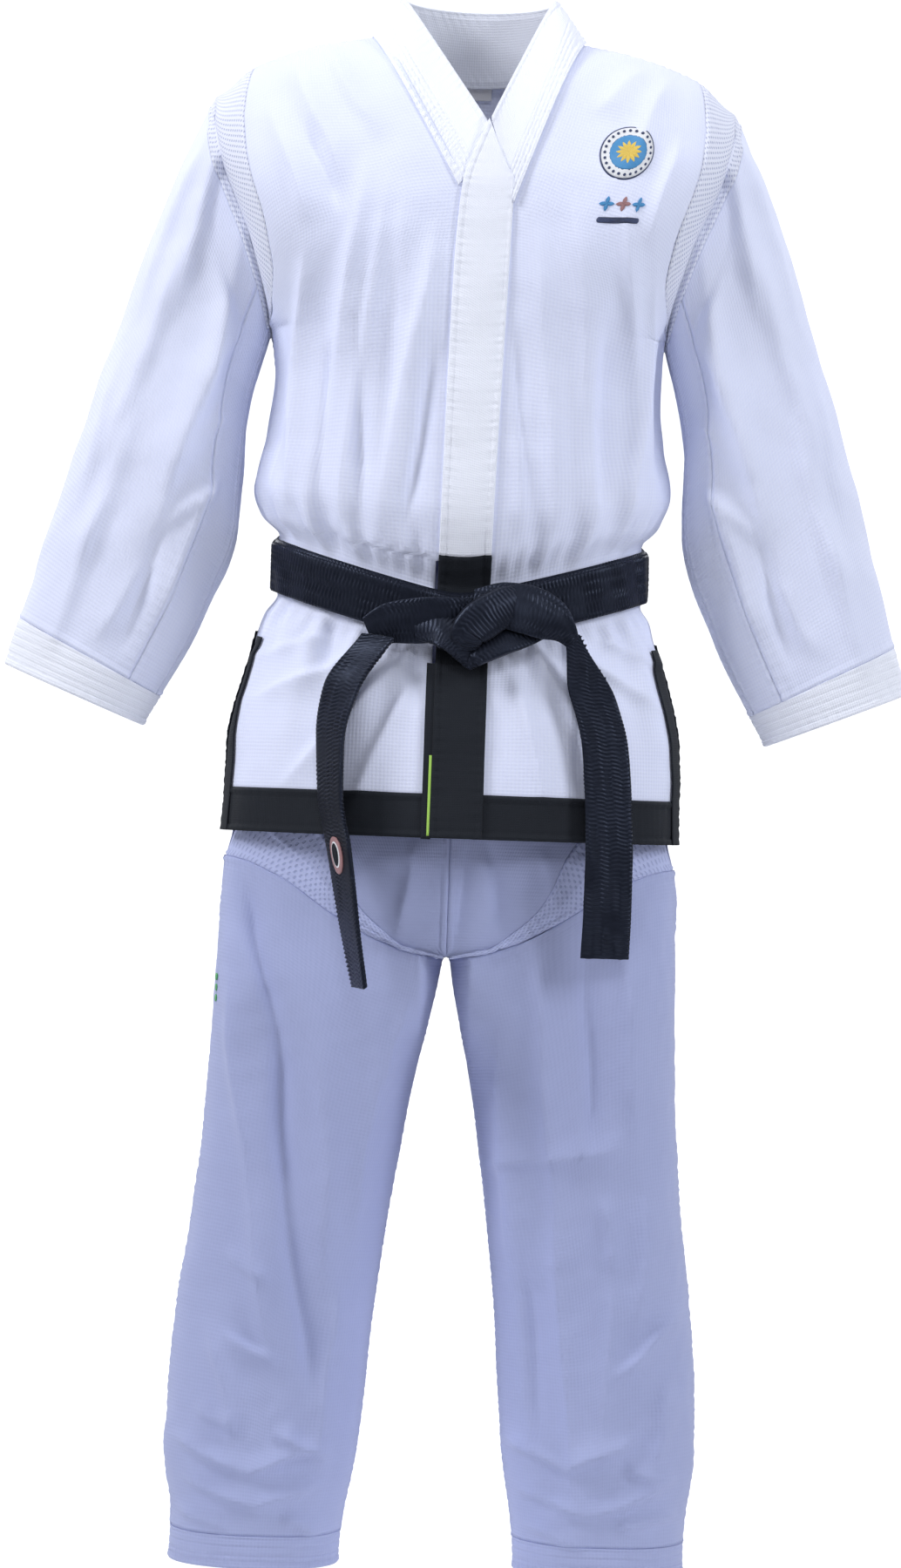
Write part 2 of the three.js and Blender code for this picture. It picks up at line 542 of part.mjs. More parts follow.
/** The mesh insert between the front rise and the top of the leg. */
function hipMesh(u, v) {
  const highZ = lerp(RISE_LOW + 2, -162, u);
  const high = hips(FRONT, riseEdge(highZ) + 3, highZ);
  const lowX = lerp(66, 205, u ** 0.8);
  const lowZ = legTop(lowX) + 4;
  const low = hips(FRONT, THREE.MathUtils.radToDeg(Math.asin(lowX / hipWidth(lowZ))), lowZ);
  return low.lerp(high, v);
}

/** The crotch gusset: a saddle between the legs from the front rise to the seat. */
function gusset(u, v) {
  const path = [[-113, -319, 54], [-112, -329, 42], [-98, -341, 27], [-50, -345, 22], [0, -346, 20],
    [50, -345, 22], [98, -341, 27], [112, -329, 42], [114, -319, 54]];
  const steps = path.length - 1;
  const parts = [0, 1, 2].map((k) => profile(path.map((p, i) => [i / steps, p[k]])));
  const [y, z, half] = parts.map((part) => part(1 - v));
  return new THREE.Vector3((0.5 - u) * 2 * half, y, z);
}

addPair('rise_front', 'trouser_white', riseFront, 6, 8);
addPair('seat', 'trouser_white', seat, 7, 7);
addPair('hip_mesh', 'mesh_white', hipMesh, 8, 2);
add('crotch_gusset', 'trouser_white', sheetGeometry(gusset, 3, 12));

const legOuter = profile([[-915, 238], [-875, 238], [-800, 245], [-680, 238], [-560, 223], [-440, 215],
  [-344, 212], [-262, 209]]);
const legInner = profile([[-915, 82], [-875, 79], [-800, 67], [-680, 57], [-560, 42], [-440, 21],
  [-370, 6], [-344, 2.5]]);
const legDepth = profile([[-915, 68], [-800, 74], [-680, 80], [-560, 88], [-440, 98], [-344, 110],
  [-262, 115]]);
const legSquareness = profile([[-700, 0.95], [-440, 0.75], [-344, 0.6]]);

/** A point of the left leg. angle: 180 inner seam, 270 front, 360 outer seam, 450 back. */
function leg(angle, z) {
  const round = (value) => Math.sign(value) * Math.abs(value) ** legSquareness(z);
  const across = 0.5 + round(Math.cos(rad(angle))) / 2;
  return new THREE.Vector3(
    lerp(legInner(z), legOuter(z), across), legDepth(z) * round(Math.sin(rad(angle))), z);
}

function legPanel(from, to) {
  return (u, v) => {
    const angle = lerp(from, to, u);
    const top = legTop(leg(angle, -300).x);
    return leg(angle, lerp(LEG_END + LEG_HEM + SEAM, top, v));
  };
}
addPair('leg_front', 'trouser_white', legPanel(180.6, 359.4), 9, 10);
addPair('leg_back', 'trouser_white', legPanel(360.6, 539.4), 9, 10);
addPair('leg_hem', 'trouser_white',
  (u, v) => leg(lerp(180, 540, u), lerp(LEG_END, LEG_END + LEG_HEM, v)), 20, 1, { ring: true });
const rightThigh = mirrored((u, v) => leg(lerp(270, 360, u), lerp(-440, -340, v)));
add('side_tag', 'tag_green', sheetGeometry(
  patch(rightThigh, { u: 0.22, v: 0.56 }, { wide: 7, tall: 17 }), 2, 2, { lift: 1.8, thickness: 1.2 }));

export default uniform;
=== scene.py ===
# %% [markdown]
# # A martial arts uniform
# A white jacket closed by a sewn band, a knotted black belt and loose trousers. The cloth is not
# modelled as one shell: each panel is its own surface, cut and joined where a tailor would sew.
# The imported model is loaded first, because every panel has to lie where its CAD solid lies.

# %% Load the frame
import bpy
import numpy as np
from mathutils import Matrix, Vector


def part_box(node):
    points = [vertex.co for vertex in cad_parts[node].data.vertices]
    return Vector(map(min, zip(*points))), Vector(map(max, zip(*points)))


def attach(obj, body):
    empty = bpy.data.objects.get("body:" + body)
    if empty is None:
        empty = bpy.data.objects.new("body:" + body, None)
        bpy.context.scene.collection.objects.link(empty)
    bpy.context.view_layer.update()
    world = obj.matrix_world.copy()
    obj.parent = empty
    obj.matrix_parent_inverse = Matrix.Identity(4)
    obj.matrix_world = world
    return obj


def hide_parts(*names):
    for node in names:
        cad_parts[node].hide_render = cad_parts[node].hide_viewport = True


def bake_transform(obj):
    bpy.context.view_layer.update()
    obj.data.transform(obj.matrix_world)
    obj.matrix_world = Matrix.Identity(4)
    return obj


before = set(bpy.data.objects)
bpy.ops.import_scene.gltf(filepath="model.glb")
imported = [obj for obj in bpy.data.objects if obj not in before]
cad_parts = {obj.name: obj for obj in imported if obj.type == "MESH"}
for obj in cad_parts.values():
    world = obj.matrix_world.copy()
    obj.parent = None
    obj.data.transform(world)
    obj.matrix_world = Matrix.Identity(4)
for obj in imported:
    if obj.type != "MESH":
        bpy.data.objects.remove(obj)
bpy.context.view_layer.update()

MM = 0.001

# %% [markdown]
# ## Driving sizes
# A cloth pattern is a handful of measures taken on the body. The same measures that shape the CAD
# solids are named here, in millimetres, and the ends of the garment are read from the frame.

# %% Sizes of the uniform
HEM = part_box("hem_trim_back")[0][2] / MM
SLEEVE_BODY = {1: "sleeve_left", -1: "sleeve_right"}
LEG_BODY = {1: "leg_left", -1: "leg_right"}
SIDE = {1: "left", -1: "right"}
LEG_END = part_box("leg_hem_left")[0][2] / MM
VENT = -60.0
TRIM = 40.0
SHOULDER_REACH = 240.0
SHOULDER_DROP = 170.0
ARMHOLE_BOTTOM, ARMHOLE_TOP, ARMHOLE_DEPTH = 226.0, 441.0, 62.0
WAIST_SHARE, WAIST_TOP, CHEST_SHARE = 0.3, 100.0, 0.7
NECK = np.array([97.0, 66.0, 500.0])
COLLAR = np.array([69.0, 58.0, 538.0])
V_POINT = (12.6, 416.0)
BELT_WIDTH = 45.0
BELT_CLOTH = 3.0
BLACK_TOP = 47.0
BAND_LIFT = 2.2
CLOTH = 1.2
FRONT, BACK = -1.0, 1.0
print(f"hem at {HEM:.0f} mm, trousers end at {LEG_END:.0f} mm")

# %% [markdown]
# ## Curves through a few measures
# A tailor's curve runs smoothly through a few measures and never swings past them. `profile` does the
# same: between two measures it is a cubic whose slopes are the harmonic means of its neighbours'.

# %% Profiles and small helpers
def profile(points):
    """A smooth curve through (position, value) measures, flat past both ends, with no overshoot."""
    x, y = (np.array(c, float) for c in zip(*points))
    secant = np.diff(y) / np.diff(x)
    before = np.concatenate([secant[:1], secant])
    after = np.concatenate([secant, secant[-1:]])
    same_way = before * after > 0
    slope = np.where(same_way, 2 * before * after / np.where(same_way, before + after, 1), 0)

    def value(at):
        at = np.clip(at, x[0], x[-1])
        i = np.clip(np.searchsorted(x, at, side="left") - 1, 0, len(x) - 2)
        w = x[i + 1] - x[i]
        s = (at - x[i]) / w
        rise = y[i + 1] - y[i]
        bend = (1 - s) * (slope[i] * w - rise) - s * (slope[i + 1] * w - rise)
        return y[i] + rise * s + s * (1 - s) * bend
    return value


def lerp(a, b, t):
    """The point at share t of the way from a to b."""
    return a + (b - a) * t


def smooth(low, high, x):
    """A soft step: 0 below low, 1 above high, 3t^2 - 2t^3 between."""
    t = np.clip((x - low) / (high - low), 0, 1)
    return t * t * (3 - 2 * t)


def stack(x, y, z):
    """Three coordinate arrays as one array of points."""
    return np.stack(np.broadcast_arrays(x, y, z), axis=-1)


# %% [markdown]
# ## The jacket's body
# The jacket hangs as an oval tube, drawn in by the belt, that rounds over the shoulders. A point of it
# is found from the angle round the body and the height, so any panel is a range of both.

# %% Jacket surface
half_width = profile([(-239, 212), (-150, 208), (-93, 194), (-45, 178), (-27, 168), (27, 168),
                      (50, 184), (77, 193), (125, 183), (175, 178), (226, 182), (306, 203),
                      (381, 233), (415, 240)])
front_depth = profile([(-239, 150), (-150, 138), (-60, 117), (-27, 110), (27, 110), (50, 126),
                       (77, 134), (200, 127), (330, 118), (430, 100), (520, 92)])
back_depth = profile([(-239, 135), (-150, 125), (-45, 108), (-27, 98), (27, 98), (50, 112),
                      (77, 118), (200, 113), (330, 113), (430, 112), (520, 112)])
shoulder_height = profile([(0, 520), (60, 512), (97, 500), (150, 490), (185, 478), (210, 466),
                           (232, 446), (240, 441)])


def belt_height(face, phi):
    """Height of the belt's middle line: a V in front and a low arch behind."""
    side = np.abs(np.sin(np.radians(phi)))
    front = 8 - 53 * np.maximum(1 - np.sqrt(side ** 2 + 0.01) / 1.005, 0) ** 0.85
    back = 8 + 27 * np.abs(np.cos(np.radians(phi)))
    return np.where(face < 0, front, back)


def torso(face, phi, level):
    """A point of the jacket: x = half width * sin(phi), y = depth * cos(phi)^0.9, and over the
    shoulder the depth shrinks like the side of a quarter circle."""
    s = np.sin(np.radians(phi))
    c = np.maximum(np.cos(np.radians(phi)), 0)
    bend = shoulder_height(SHOULDER_REACH * np.abs(s)) - SHOULDER_DROP
    over = np.clip((level - bend) / SHOULDER_DROP, 0, 1)
    depth = np.where(face < 0, front_depth(level), back_depth(level))
    below = 1 - np.clip((level - ARMHOLE_BOTTOM) / 90, 0, 1)
    arm = lerp(smooth(170, 340, level), np.sqrt(1 - below ** 2), np.abs(s) ** 14) * ARMHOLE_DEPTH
    y = face * (depth * c ** 0.9 + arm * s * s) * np.sqrt(1 - over ** 2)
    pull = np.clip(1 - (np.abs(level) - 30) / 130, 0, 1) ** 2
    return stack(half_width(level) * s, y, level + belt_height(face, phi) * pull)


def panel_level(phi, v, low=VENT):
    """The level at share v of a panel that runs from the vents up to the shoulder seam."""
    bend = shoulder_height(SHOULDER_REACH * np.abs(np.sin(np.radians(phi)))) - SHOULDER_DROP
    waist = lerp(low, WAIST_TOP, v / WAIST_SHARE)
    chest = lerp(WAIST_TOP, bend, (v - WAIST_SHARE) / (CHEST_SHARE - WAIST_SHARE))
    turn = np.clip((v - CHEST_SHARE) / (1 - CHEST_SHARE), 0, 1)
    top = bend + SHOULDER_DROP * np.sin(np.pi / 2 * turn)
    return np.where(v < WAIST_SHARE, waist, np.where(v < CHEST_SHARE, chest, top))


def armhole_depth(level):
    """Half depth of the armhole's edge at a level: an oval closed at both ends."""
    below = 1 - np.clip((level - ARMHOLE_BOTTOM) / 90, 0, 1)
    above = np.clip((level - (ARMHOLE_TOP - SHOULDER_DROP)) / SHOULDER_DROP, 0, 1)
    return ARMHOLE_DEPTH * np.sqrt(1 - below ** 2) * np.sqrt(1 - above ** 2)


def phi_of(x, level):
    """The angle at which the jacket's front is x from the centre line."""
    return np.degrees(np.arcsin(np.clip(x / half_width(level), -1, 1)))


# %% [markdown]
# ## Folds
# Worn cloth is never smooth: it hangs in long soft ridges from chest and hip, gathers where the belt
# draws it in, and crumples over the ankles. Each fold is laid as a ridge along a line, which gives
# control over where it starts and dies out. Small wrinkles come from a few crossed waves.

# %% Relief of the cloth
def ridge(x, z, folds):
    """Sum of ridges. Each is (x0, z0, x1, z1, width, height): height * exp(-|d / width|^1.5) across
    the line, steeper on one side, fading over its last third at both ends."""
    total = np.zeros(np.broadcast(x, z).shape)
    for x0, z0, x1, z1, width, height in folds:
        run = np.hypot(x1 - x0, z1 - z0)
        ax, az = (x1 - x0) / run, (z1 - z0) / run
        along = ((x - x0) * ax + (z - z0) * az) / run
        across = (x - x0) * -az + (z - z0) * ax
        wander = 0.12 * width * np.sin(along * 7 + x0)
        fade = smooth(-0.18, 0.25, along) * (1 - smooth(0.72, 1.18, along))
        off = across + wander
        total = total + height * fade * np.exp(-np.abs(off / (width * np.where(off > 0, 1.3, 0.6))) ** 1.5)
    return total


def wrinkles(x, z, size, seed, count=7):
    """Crossed waves of about the given size, with directions and phases drawn from a fixed seed."""
    rng = np.random.default_rng(seed)
    total = np.zeros(np.broadcast(x, z).shape)
    for _ in range(count):
        angle = rng.uniform(0, np.pi)
        k = 2 * np.pi / (size * rng.uniform(0.7, 1.5))
        bend = 0.6 * np.sin((x * np.sin(angle) - z * np.cos(angle)) * k * 0.45 + rng.uniform(0, 6.3))
        total = total + np.sin((x * np.cos(angle) + z * np.sin(angle)) * k + bend + rng.uniform(0, 6.3))
    return total / count


TORSO_FOLDS = [
    (-100, 345, -134, 62, 13, 7), (-80, 325, -108, 70, 10, 5), (-34, 300, -74, 46, 14, 8),
    (-152, 280, -160, 60, 9, 5), (-124, 200, -132, 70, 6, -5), (-30, 200, -50, 46, 9, -6),
    (-96, 210, -92, 60, 8, -5), (-62, 330, -58, 180, 13, 4), (-170, 470, -118, 350, 16, 5),
    (-140, 478, -90, 400, 14, 4), (-188, 420, -150, 320, 10, 4), (-150, 400, -120, 330, 9, -3),
    (96, 330, 108, 150, 15, 4), (62, 300, 80, 60, 12, 4), (140, 330, 158, 70, 12, 6),
    (168, 270, 150, 60, 9, 5), (124, 220, 128, 60, 9, -5), (44, 210, 62, 50, 7, -4),
    (176, 460, 130, 360, 15, 4), (150, 470, 112, 430, 12, 3), (186, 400, 160, 310, 10, 4),
]
BACK_FOLDS = [(-60, 380, -40, 80, 18, 6), (50, 360, 70, 70, 16, 6), (0, 300, 8, 60, 14, -5),
              (-120, 400, -130, 90, 15, 5), (125, 410, 120, 80, 15, 5), (-90, 470, 90, 455, 14, 3)]
SKIRT_FOLDS = [
    (-46, -75, -150, -190, 9, 5), (-80, -72, -190, -120, 8, 5), (-40, -95, -92, -215, 9, 4),
    (72, -70, 150, -190, 9, 5), (100, -62, 188, -118, 8, 5), (52, -90, 84, -205, 8, 4),
    (-120, -60, -195, -80, 6, 3), (130, -55, 196, -78, 6, 3), (110, -120, 118, -200, 7, -4),
]


def torso_relief(p):
    """Height of the folds over a point of the jacket, outwards."""
    x, y, z = p[..., 0], p[..., 1], p[..., 2]
    front = ridge(x, z, TORSO_FOLDS) + ridge(x, z, SKIRT_FOLDS) * 0.9
    back = ridge(x, z, BACK_FOLDS) - 0.8 * ridge(x, z, SKIRT_FOLDS)
    height = np.where(y < 0, front, back)
    height = height * (1 - smooth(150, 205, np.abs(x)) * 0.7) * smooth(8, 45, np.abs(x))
    belt = np.abs(z - belt_height(np.where(y < 0, FRONT, BACK), phi_of(x, z * 0)))
    around = np.degrees(np.arctan2(x, np.abs(y) + 1))
    pleats = np.sin(around * 0.42 + 1.3 * np.sin(around * 0.11)) * np.exp(-((belt - 55) / 26) ** 2)
    pleats = pleats + 0.6 * np.sin(around * 0.9 + 2) * np.exp(-((belt - 40) / 16) ** 2)
    fine = 1.5 * wrinkles(x, z + 0.4 * y, 90, 4) + 0.5 * wrinkles(x, z, 34, 5)
    hang = np.sin(around * 0.3 + 1.2 * np.sin(around * 0.083) + 0.004 * z) + 0.5 * np.sin(around * 0.55 + 1)
    gather = 2.2 * hang * smooth(360, 90, z) * smooth(-200, -90, z)
    near_belt = smooth(22, 42, belt)
    loose = 1.45 * height + 3.0 * pleats * smooth(12, 40, np.abs(x)) + gather * smooth(20, 60, np.abs(x))
    return near_belt * (loose + fine)


print("folds laid on the jacket:", len(TORSO_FOLDS) + len(BACK_FOLDS) + len(SKIRT_FOLDS))

# %% [markdown]
# ## From a surface to a piece of cloth
# Every panel is a function of two shares: u runs anticlockwise round the body and v runs up, so the
# faces point outwards. The function is sampled on a grid, pushed out along its normal by the folds,
# and given a woven thickness. Along its edges the cloth is turned under and topstitched, which draws
# the fabric into small puckers.

# %% Sampling and edges
def mirrored(surface):
    """The same surface on the wearer's other side, with u turned round to keep it facing out."""
    return lambda u, v: surface(1 - u, v) * np.array([-1.0, 1, 1])


def on_side(side):
    """What turns a surface drawn on the wearer's left into that of a side: 1 left, -1 right."""
    return (lambda surface: surface) if side > 0 else mirrored


def shares(columns, rows):
    """The grid of shares u and v from 0 to 1 on which a surface is sampled."""
    return np.meshgrid(np.linspace(0, 1, columns), np.linspace(0, 1, rows))


def normals(surface, u, v, step=2e-3):
    """Unit normal: the cross product of the surface's slopes along u and v."""
    du = surface(u + step, v) - surface(u - step, v)
    dv = surface(u, v + step) - surface(u, v - step)
    n = np.cross(du, dv)
    return n / np.maximum(np.linalg.norm(n, axis=-1, keepdims=True), 1e-9)


def lengths(p, axis):
    """Distance walked along the grid from its first edge, in mm."""
    step = np.linalg.norm(np.diff(p, axis=axis), axis=-1)
    pad = [(1, 0), (0, 0)] if axis == 0 else [(0, 0), (1, 0)]
    return np.pad(np.cumsum(step, axis=axis), pad)


def seam_relief(across, along, seed, depth=0.8):
    """A turned edge: a raised welt to 5 mm, a stitch groove at 6 mm and puckers that die out by 22 mm."""
    welt = 0.9 * smooth(0, 1.5, across) * (1 - smooth(5, 6.5, across))
    groove = -0.5 * np.exp(-((across - 6.2) / 0.9) ** 2)
    wave = np.sin(along * 0.62 + 2.1 * np.sin(along * 0.09 + seed)) + 0.6 * np.sin(along * 1.13 + seed)
    return welt + groove + depth * 0.7 * wave * smooth(0, 4, across) * np.exp(-across / 9.0)


def edge_relief(p, seams, seed):
    """Puckers along the chosen edges of a grid: l and r for the ends of u, b and t for those of v."""
    across, up = lengths(p, 1), lengths(p, 0)
    total = np.zeros(p.shape[:2])
    if "l" in seams:
        total = total + seam_relief(across, up, seed)
    if "r" in seams:
        total = total + seam_relief(across[:, -1:] - across, up, seed + 1)
    if "b" in seams:
        total = total + seam_relief(up, across, seed + 2)
    if "t" in seams:
        total = total + seam_relief(up[-1:] - up, across, seed + 3)
    return total


def shape(surface, columns, rows, lift=0.0, relief=None, seams="", seed=0):
    """The grid of a surface, lifted, folded and puckered along its normals, in mm."""
    u, v = shares(columns, rows)
    p = surface(u, v)
    height = lift + edge_relief(p, seams, seed)
    if relief is not None:
        height = height + relief(p)
    return p + normals(surface, u, v) * height[..., None]


# %% Meshes
def mesh_piece(name, p, ring=False):
    """An object from a grid of points in mm, with a UV map in metres of cloth. A ring's last column
    is its first."""
    assert np.isfinite(p).all(), name
    rows, columns = p.shape[:2]
    used = columns - 1 if ring else columns
    index = np.arange(rows * used).reshape(rows, used)
    right = np.roll(index, -1, axis=1) if ring else index[:, 1:]
    left = index if ring else index[:, :-1]
    quads = np.stack([left[:-1], right[:-1], right[1:], left[1:]], axis=-1).reshape(-1, 4)
    mesh = bpy.data.meshes.new(name)
    mesh.from_pydata((p[:, :used].reshape(-1, 3) * MM).tolist(), [], quads.tolist())
    u = np.broadcast_to(lengths(p, 1).mean(axis=0, keepdims=True), p.shape[:2]) * MM
    v = np.broadcast_to(lengths(p, 0).mean(axis=1, keepdims=True), p.shape[:2]) * MM
    corners = np.stack([np.stack([a[:-1, :-1], a[:-1, 1:], a[1:, 1:], a[1:, :-1]], -1)
                        for a in (u, v)], -1).reshape(-1, 2)
    layer = mesh.uv_layers.new(name="cloth")
    layer.data.foreach_set("uv", corners.astype(np.float32).ravel())
    mesh.polygons.foreach_set("use_smooth", np.ones(len(quads), bool))
    mesh.update()
    piece = bpy.data.objects.new(name, mesh)
    bpy.context.scene.collection.objects.link(piece)
    return piece


def thicken(piece, thickness):
    """Gives a sheet its cloth thickness, inwards from its outer face."""
    wall = piece.modifiers.new("cloth thickness", "SOLIDIFY")
    wall.thickness = thickness * MM
    wall.offset = -1
    wall.use_even_offset = False
    return piece


def tube(name, rings):
    """A closed solid from a stack of closed cross sections, with both ends capped to a point."""
    caps = [rings[:1].mean(axis=1, keepdims=True), rings[-1:].mean(axis=1, keepdims=True)]
    ends = [np.repeat(c, rings.shape[1], axis=1) for c in caps]
    p = np.concatenate([ends[0], rings, ends[1]])
    piece = mesh_piece(name, np.concatenate([p, p[:, :1]], axis=1), ring=True)
    weld = piece.modifiers.new("join the ends", "WELD")
    weld.merge_threshold = 1e-5
    return piece


def dress(piece, finish, slot, body, nodes=(), bend=None):
    """Gives a piece its finish and hides the CAD parts it replaces. Without a bend it is parented to its
    body's empty; with a bend, (other body, start, end) in mm, its transform is only baked and the bend's
    values are not used.
    """
    piece.data.materials.append(finish)
    if bend is None:
        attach(piece, body)
    else:
        other, start, end = bend
        tuple(np.array(start) * MM)
        tuple(np.array(end) * MM)
        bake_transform(piece)
    if nodes:
        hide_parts(*nodes)
    return piece


cut_sizes = {}


def declare_cut(piece, p):
    """Notes in cut_sizes the flat size of the cloth that the panel was cut from."""
    across, up = lengths(p, 1), lengths(p, 0)
    a = np.cross(p[1:, 1:] - p[:-1, :-1], p[:-1, 1:] - p[1:, :-1])
    area = float(np.linalg.norm(a, axis=-1).sum() / 2) * MM * MM
    width, length = float(across.max()) * MM, float(up.max()) * MM
    cut_sizes[piece.name] = (round(width, 3), round(length, 3), round(area, 4))


# %% [markdown]
# ## Finishes
# White cloth is only interesting close up: a diamond weave, a little unevenness of the yarn and the
# cool shade of bleached cotton. All patterns follow the cloth's own UV map, which is in metres, so the
# weave has its real pitch everywhere and doesn't slide when a sleeve is raised. The trousers and their
# hip mesh are the same white cloth painted darker and bluer: painted shade where less light reaches
# the legs.

# %% Shader maths
class Field:
    """A shader value that can be used in Python expressions."""

    def __init__(self, finish, socket):
        self.finish, self.socket = finish, socket

    def _math(self, operation, a, b=None):
        sockets = {0: a} if b is None else {0: a, 1: b}
        return self.finish.value("ShaderNodeMath", {"operation": operation}, sockets)

    def __add__(self, other):
        return self._math("ADD", self, other)

    def __sub__(self, other):
        return self._math("SUBTRACT", self, other)

    def __rsub__(self, other):
        return self._math("SUBTRACT", other, self)

    def __mul__(self, other):
        return self._math("MULTIPLY", self, other)

    __radd__, __rmul__ = __add__, __mul__

    def sin(self):
        return self._math("SINE", self)

    def clip(self):
        return self.finish.value("ShaderNodeClamp", {}, {"Value": self})


class Finish:
    """A material built from expressions, on one Principled shader."""

    def __init__(self, name, roughness, **constants):
        self.material = bpy.data.materials.new(name)
        self.material.use_nodes = True
        self.tree = self.material.node_tree
        self.shader = self.tree.nodes["Principled BSDF"]
        self.shader.inputs["Roughness"].default_value = roughness
        for socket, value in constants.items():
            self.shader.inputs[socket.replace("_", " ")].default_value = value

    def node(self, kind, settings, sockets):
        """Adds a node: its settings first, then the value or link of each named socket."""
        node = self.tree.nodes.new(kind)
        for key, value in settings.items():
            setattr(node, key, value)
        for key, value in sockets.items():
            if isinstance(value, Field):
                self.tree.links.new(value.socket, node.inputs[key])
            else:
                node.inputs[key].default_value = value
        return node

    def value(self, kind, settings, sockets, output=0):
        return Field(self, self.node(kind, settings, sockets).outputs[output])

    def cloth(self):
        """The two directions of the cloth, in metres."""
        uv = self.value("ShaderNodeUVMap", {"uv_map": "cloth"}, {})
        parts = self.node("ShaderNodeSeparateXYZ", {}, {"Vector": uv})
        return uv, Field(self, parts.outputs[0]), Field(self, parts.outputs[1])

    def noise(self, vector, scale, detail=2.0):
        return self.value("ShaderNodeTexNoise", {}, {"Vector": vector, "Scale": scale, "Detail": detail})

    def blend(self, factor, a, b):
        return self.value("ShaderNodeMix", {"data_type": "RGBA"}, {0: factor, 6: a, 7: b}, output=2)

    def colour(self, field):
        self.tree.links.new(field.socket, self.shader.inputs["Base Color"])

    def roughness(self, field):
        self.tree.links.new(field.socket, self.shader.inputs["Roughness"])

    def bump(self, height, distance, strength=1.0):
        bump = self.node("ShaderNodeBump", {}, {"Height": height, "Strength": strength, "Distance": distance})
        self.tree.links.new(bump.outputs[0], self.shader.inputs["Normal"])
        return self.material


# %% Cloth finishes
def woven(name, light, shade, pitch=0.0034, depth=0.00022, roughness=0.85, sheen=0.15):
    """Diamond weave: two crossed waves, sin(k(u+v)) * sin(k(u-v)), over uneven yarn."""
    finish = Finish(name, roughness, Sheen_Weight=sheen, Sheen_Roughness=0.5, Specular_IOR_Level=0.25)
    uv, u, v = finish.cloth()
    k = np.pi / pitch
    diamond = ((u + v) * k).sin() * ((u - v) * k).sin()
    yarn = finish.noise(uv, 900.0, 3.0)
    cloud = finish.noise(uv, 7.0, 3.0)
    tone = (cloud * 0.5 + diamond * 0.16 + yarn * 0.35 + 0.05).clip()
    finish.colour(finish.blend(tone, shade, light))
    return finish.bump(diamond * 0.5 + yarn * 0.8, depth)


def netting(name, light, hole, pitch_u, pitch_v, depth=0.0005):
    """Knitted mesh: rounded holes where two waves meet, staggered from row to row. The holes are coloured
    darker: painted shade of the inside seen through them.
    """
    finish = Finish(name, 0.9, Sheen_Weight=0.1)
    uv, u, v = finish.cloth()
    ku, kv = 2 * np.pi / pitch_u, 2 * np.pi / pitch_v
    first = (u * ku).sin() * (v * kv).sin()
    hole_and_painted_shade_mask = (first * 2.6 - 0.7).clip()
    yarn = finish.noise(uv, 900.0, 2.0)
    # The holes take the darker colour: painted shade of the inside seen through them.
    finish.colour(finish.blend((hole_and_painted_shade_mask + yarn * 0.12).clip(), light, hole))
    return finish.bump(1 - hole_and_painted_shade_mask + yarn * 0.2, depth)


def satin(name, dark, light, roughness=0.34):
    """Satin over a firm core: a fine lengthwise sheen, broken by the yarn."""
    finish = Finish(name, roughness, Sheen_Weight=0.02, Specular_IOR_Level=0.3,
                    Specular_Tint=(0.55, 0.66, 1.0, 1))
    uv = finish.cloth()[0]
    yarn = finish.noise(uv, 1400.0, 2.0)
    streak = finish.noise(uv, 160.0, 4.0)
    finish.colour(finish.blend((streak * 0.7 + yarn * 0.3).clip(), dark, light))
    finish.roughness((streak * 0.25 + (roughness - 0.1)).clip())
    return finish.bump(yarn + streak, 0.00012)


def embroidery(name, thread, dark, pitch=0.0009):
    """Satin stitch: parallel threads laid across the shape, each catching its own light."""
    finish = Finish(name, 0.5, Sheen_Weight=0.2)
    uv, _, v = finish.cloth()
    strand = ((v * (2 * np.pi / pitch)).sin() + 1.0) * 0.5
    yarn = finish.noise(uv, 1200.0, 2.0)
    finish.colour(finish.blend((strand * 0.6 + yarn * 0.4).clip(), dark, thread))
    return finish.bump(strand, 0.00015)


white = woven("jacket cloth", (0.80, 0.84, 1.0, 1), (0.69, 0.735, 0.97, 1))
white_band = woven("band cloth", (0.89, 0.915, 1.0, 1), (0.80, 0.835, 0.97, 1), pitch=0.0022)
# Trousers: the jacket's white cloth painted darker and bluer, as painted shade where less light reaches the
# legs.
trouser_white = woven("trouser cloth", (0.43, 0.475, 0.74, 1), (0.35, 0.395, 0.65, 1))
# The second colour of each mesh is painted shade for its holes.
net_fine = netting("fine mesh", (0.80, 0.83, 0.97, 1), (0.50, 0.54, 0.74, 1), 0.0056, 0.0050)
# Hip mesh: the jacket's mesh painted darker and bluer, as painted shade where less light reaches the legs.
trouser_net_painted_shade = netting("hip mesh", (0.48, 0.53, 0.82, 1), (0.37, 0.42, 0.70, 1), 0.0064, 0.0076)
black = woven("black band", (0.015, 0.019, 0.028, 1), (0.006, 0.008, 0.013, 1), pitch=0.0016, roughness=0.8,
              sheen=0.02)
belt_satin = satin("belt satin", (0.003, 0.004, 0.007, 1), (0.012, 0.014, 0.024, 1))
elastic = woven("waist elastic", (0.86, 0.87, 0.9, 1), (0.7, 0.71, 0.75, 1), pitch=0.004)
label_white = woven("label weave", (0.93, 0.93, 0.95, 1), (0.8, 0.8, 0.84, 1), pitch=0.0012)
green = embroidery("lime piping", (0.47, 0.78, 0.13, 1), (0.30, 0.55, 0.07, 1))
tag_green = embroidery("green thread", (0.10, 0.50, 0.17, 1), (0.04, 0.28, 0.08, 1))
navy = embroidery("navy thread", (0.035, 0.06, 0.17, 1), (0.012, 0.02, 0.07, 1))
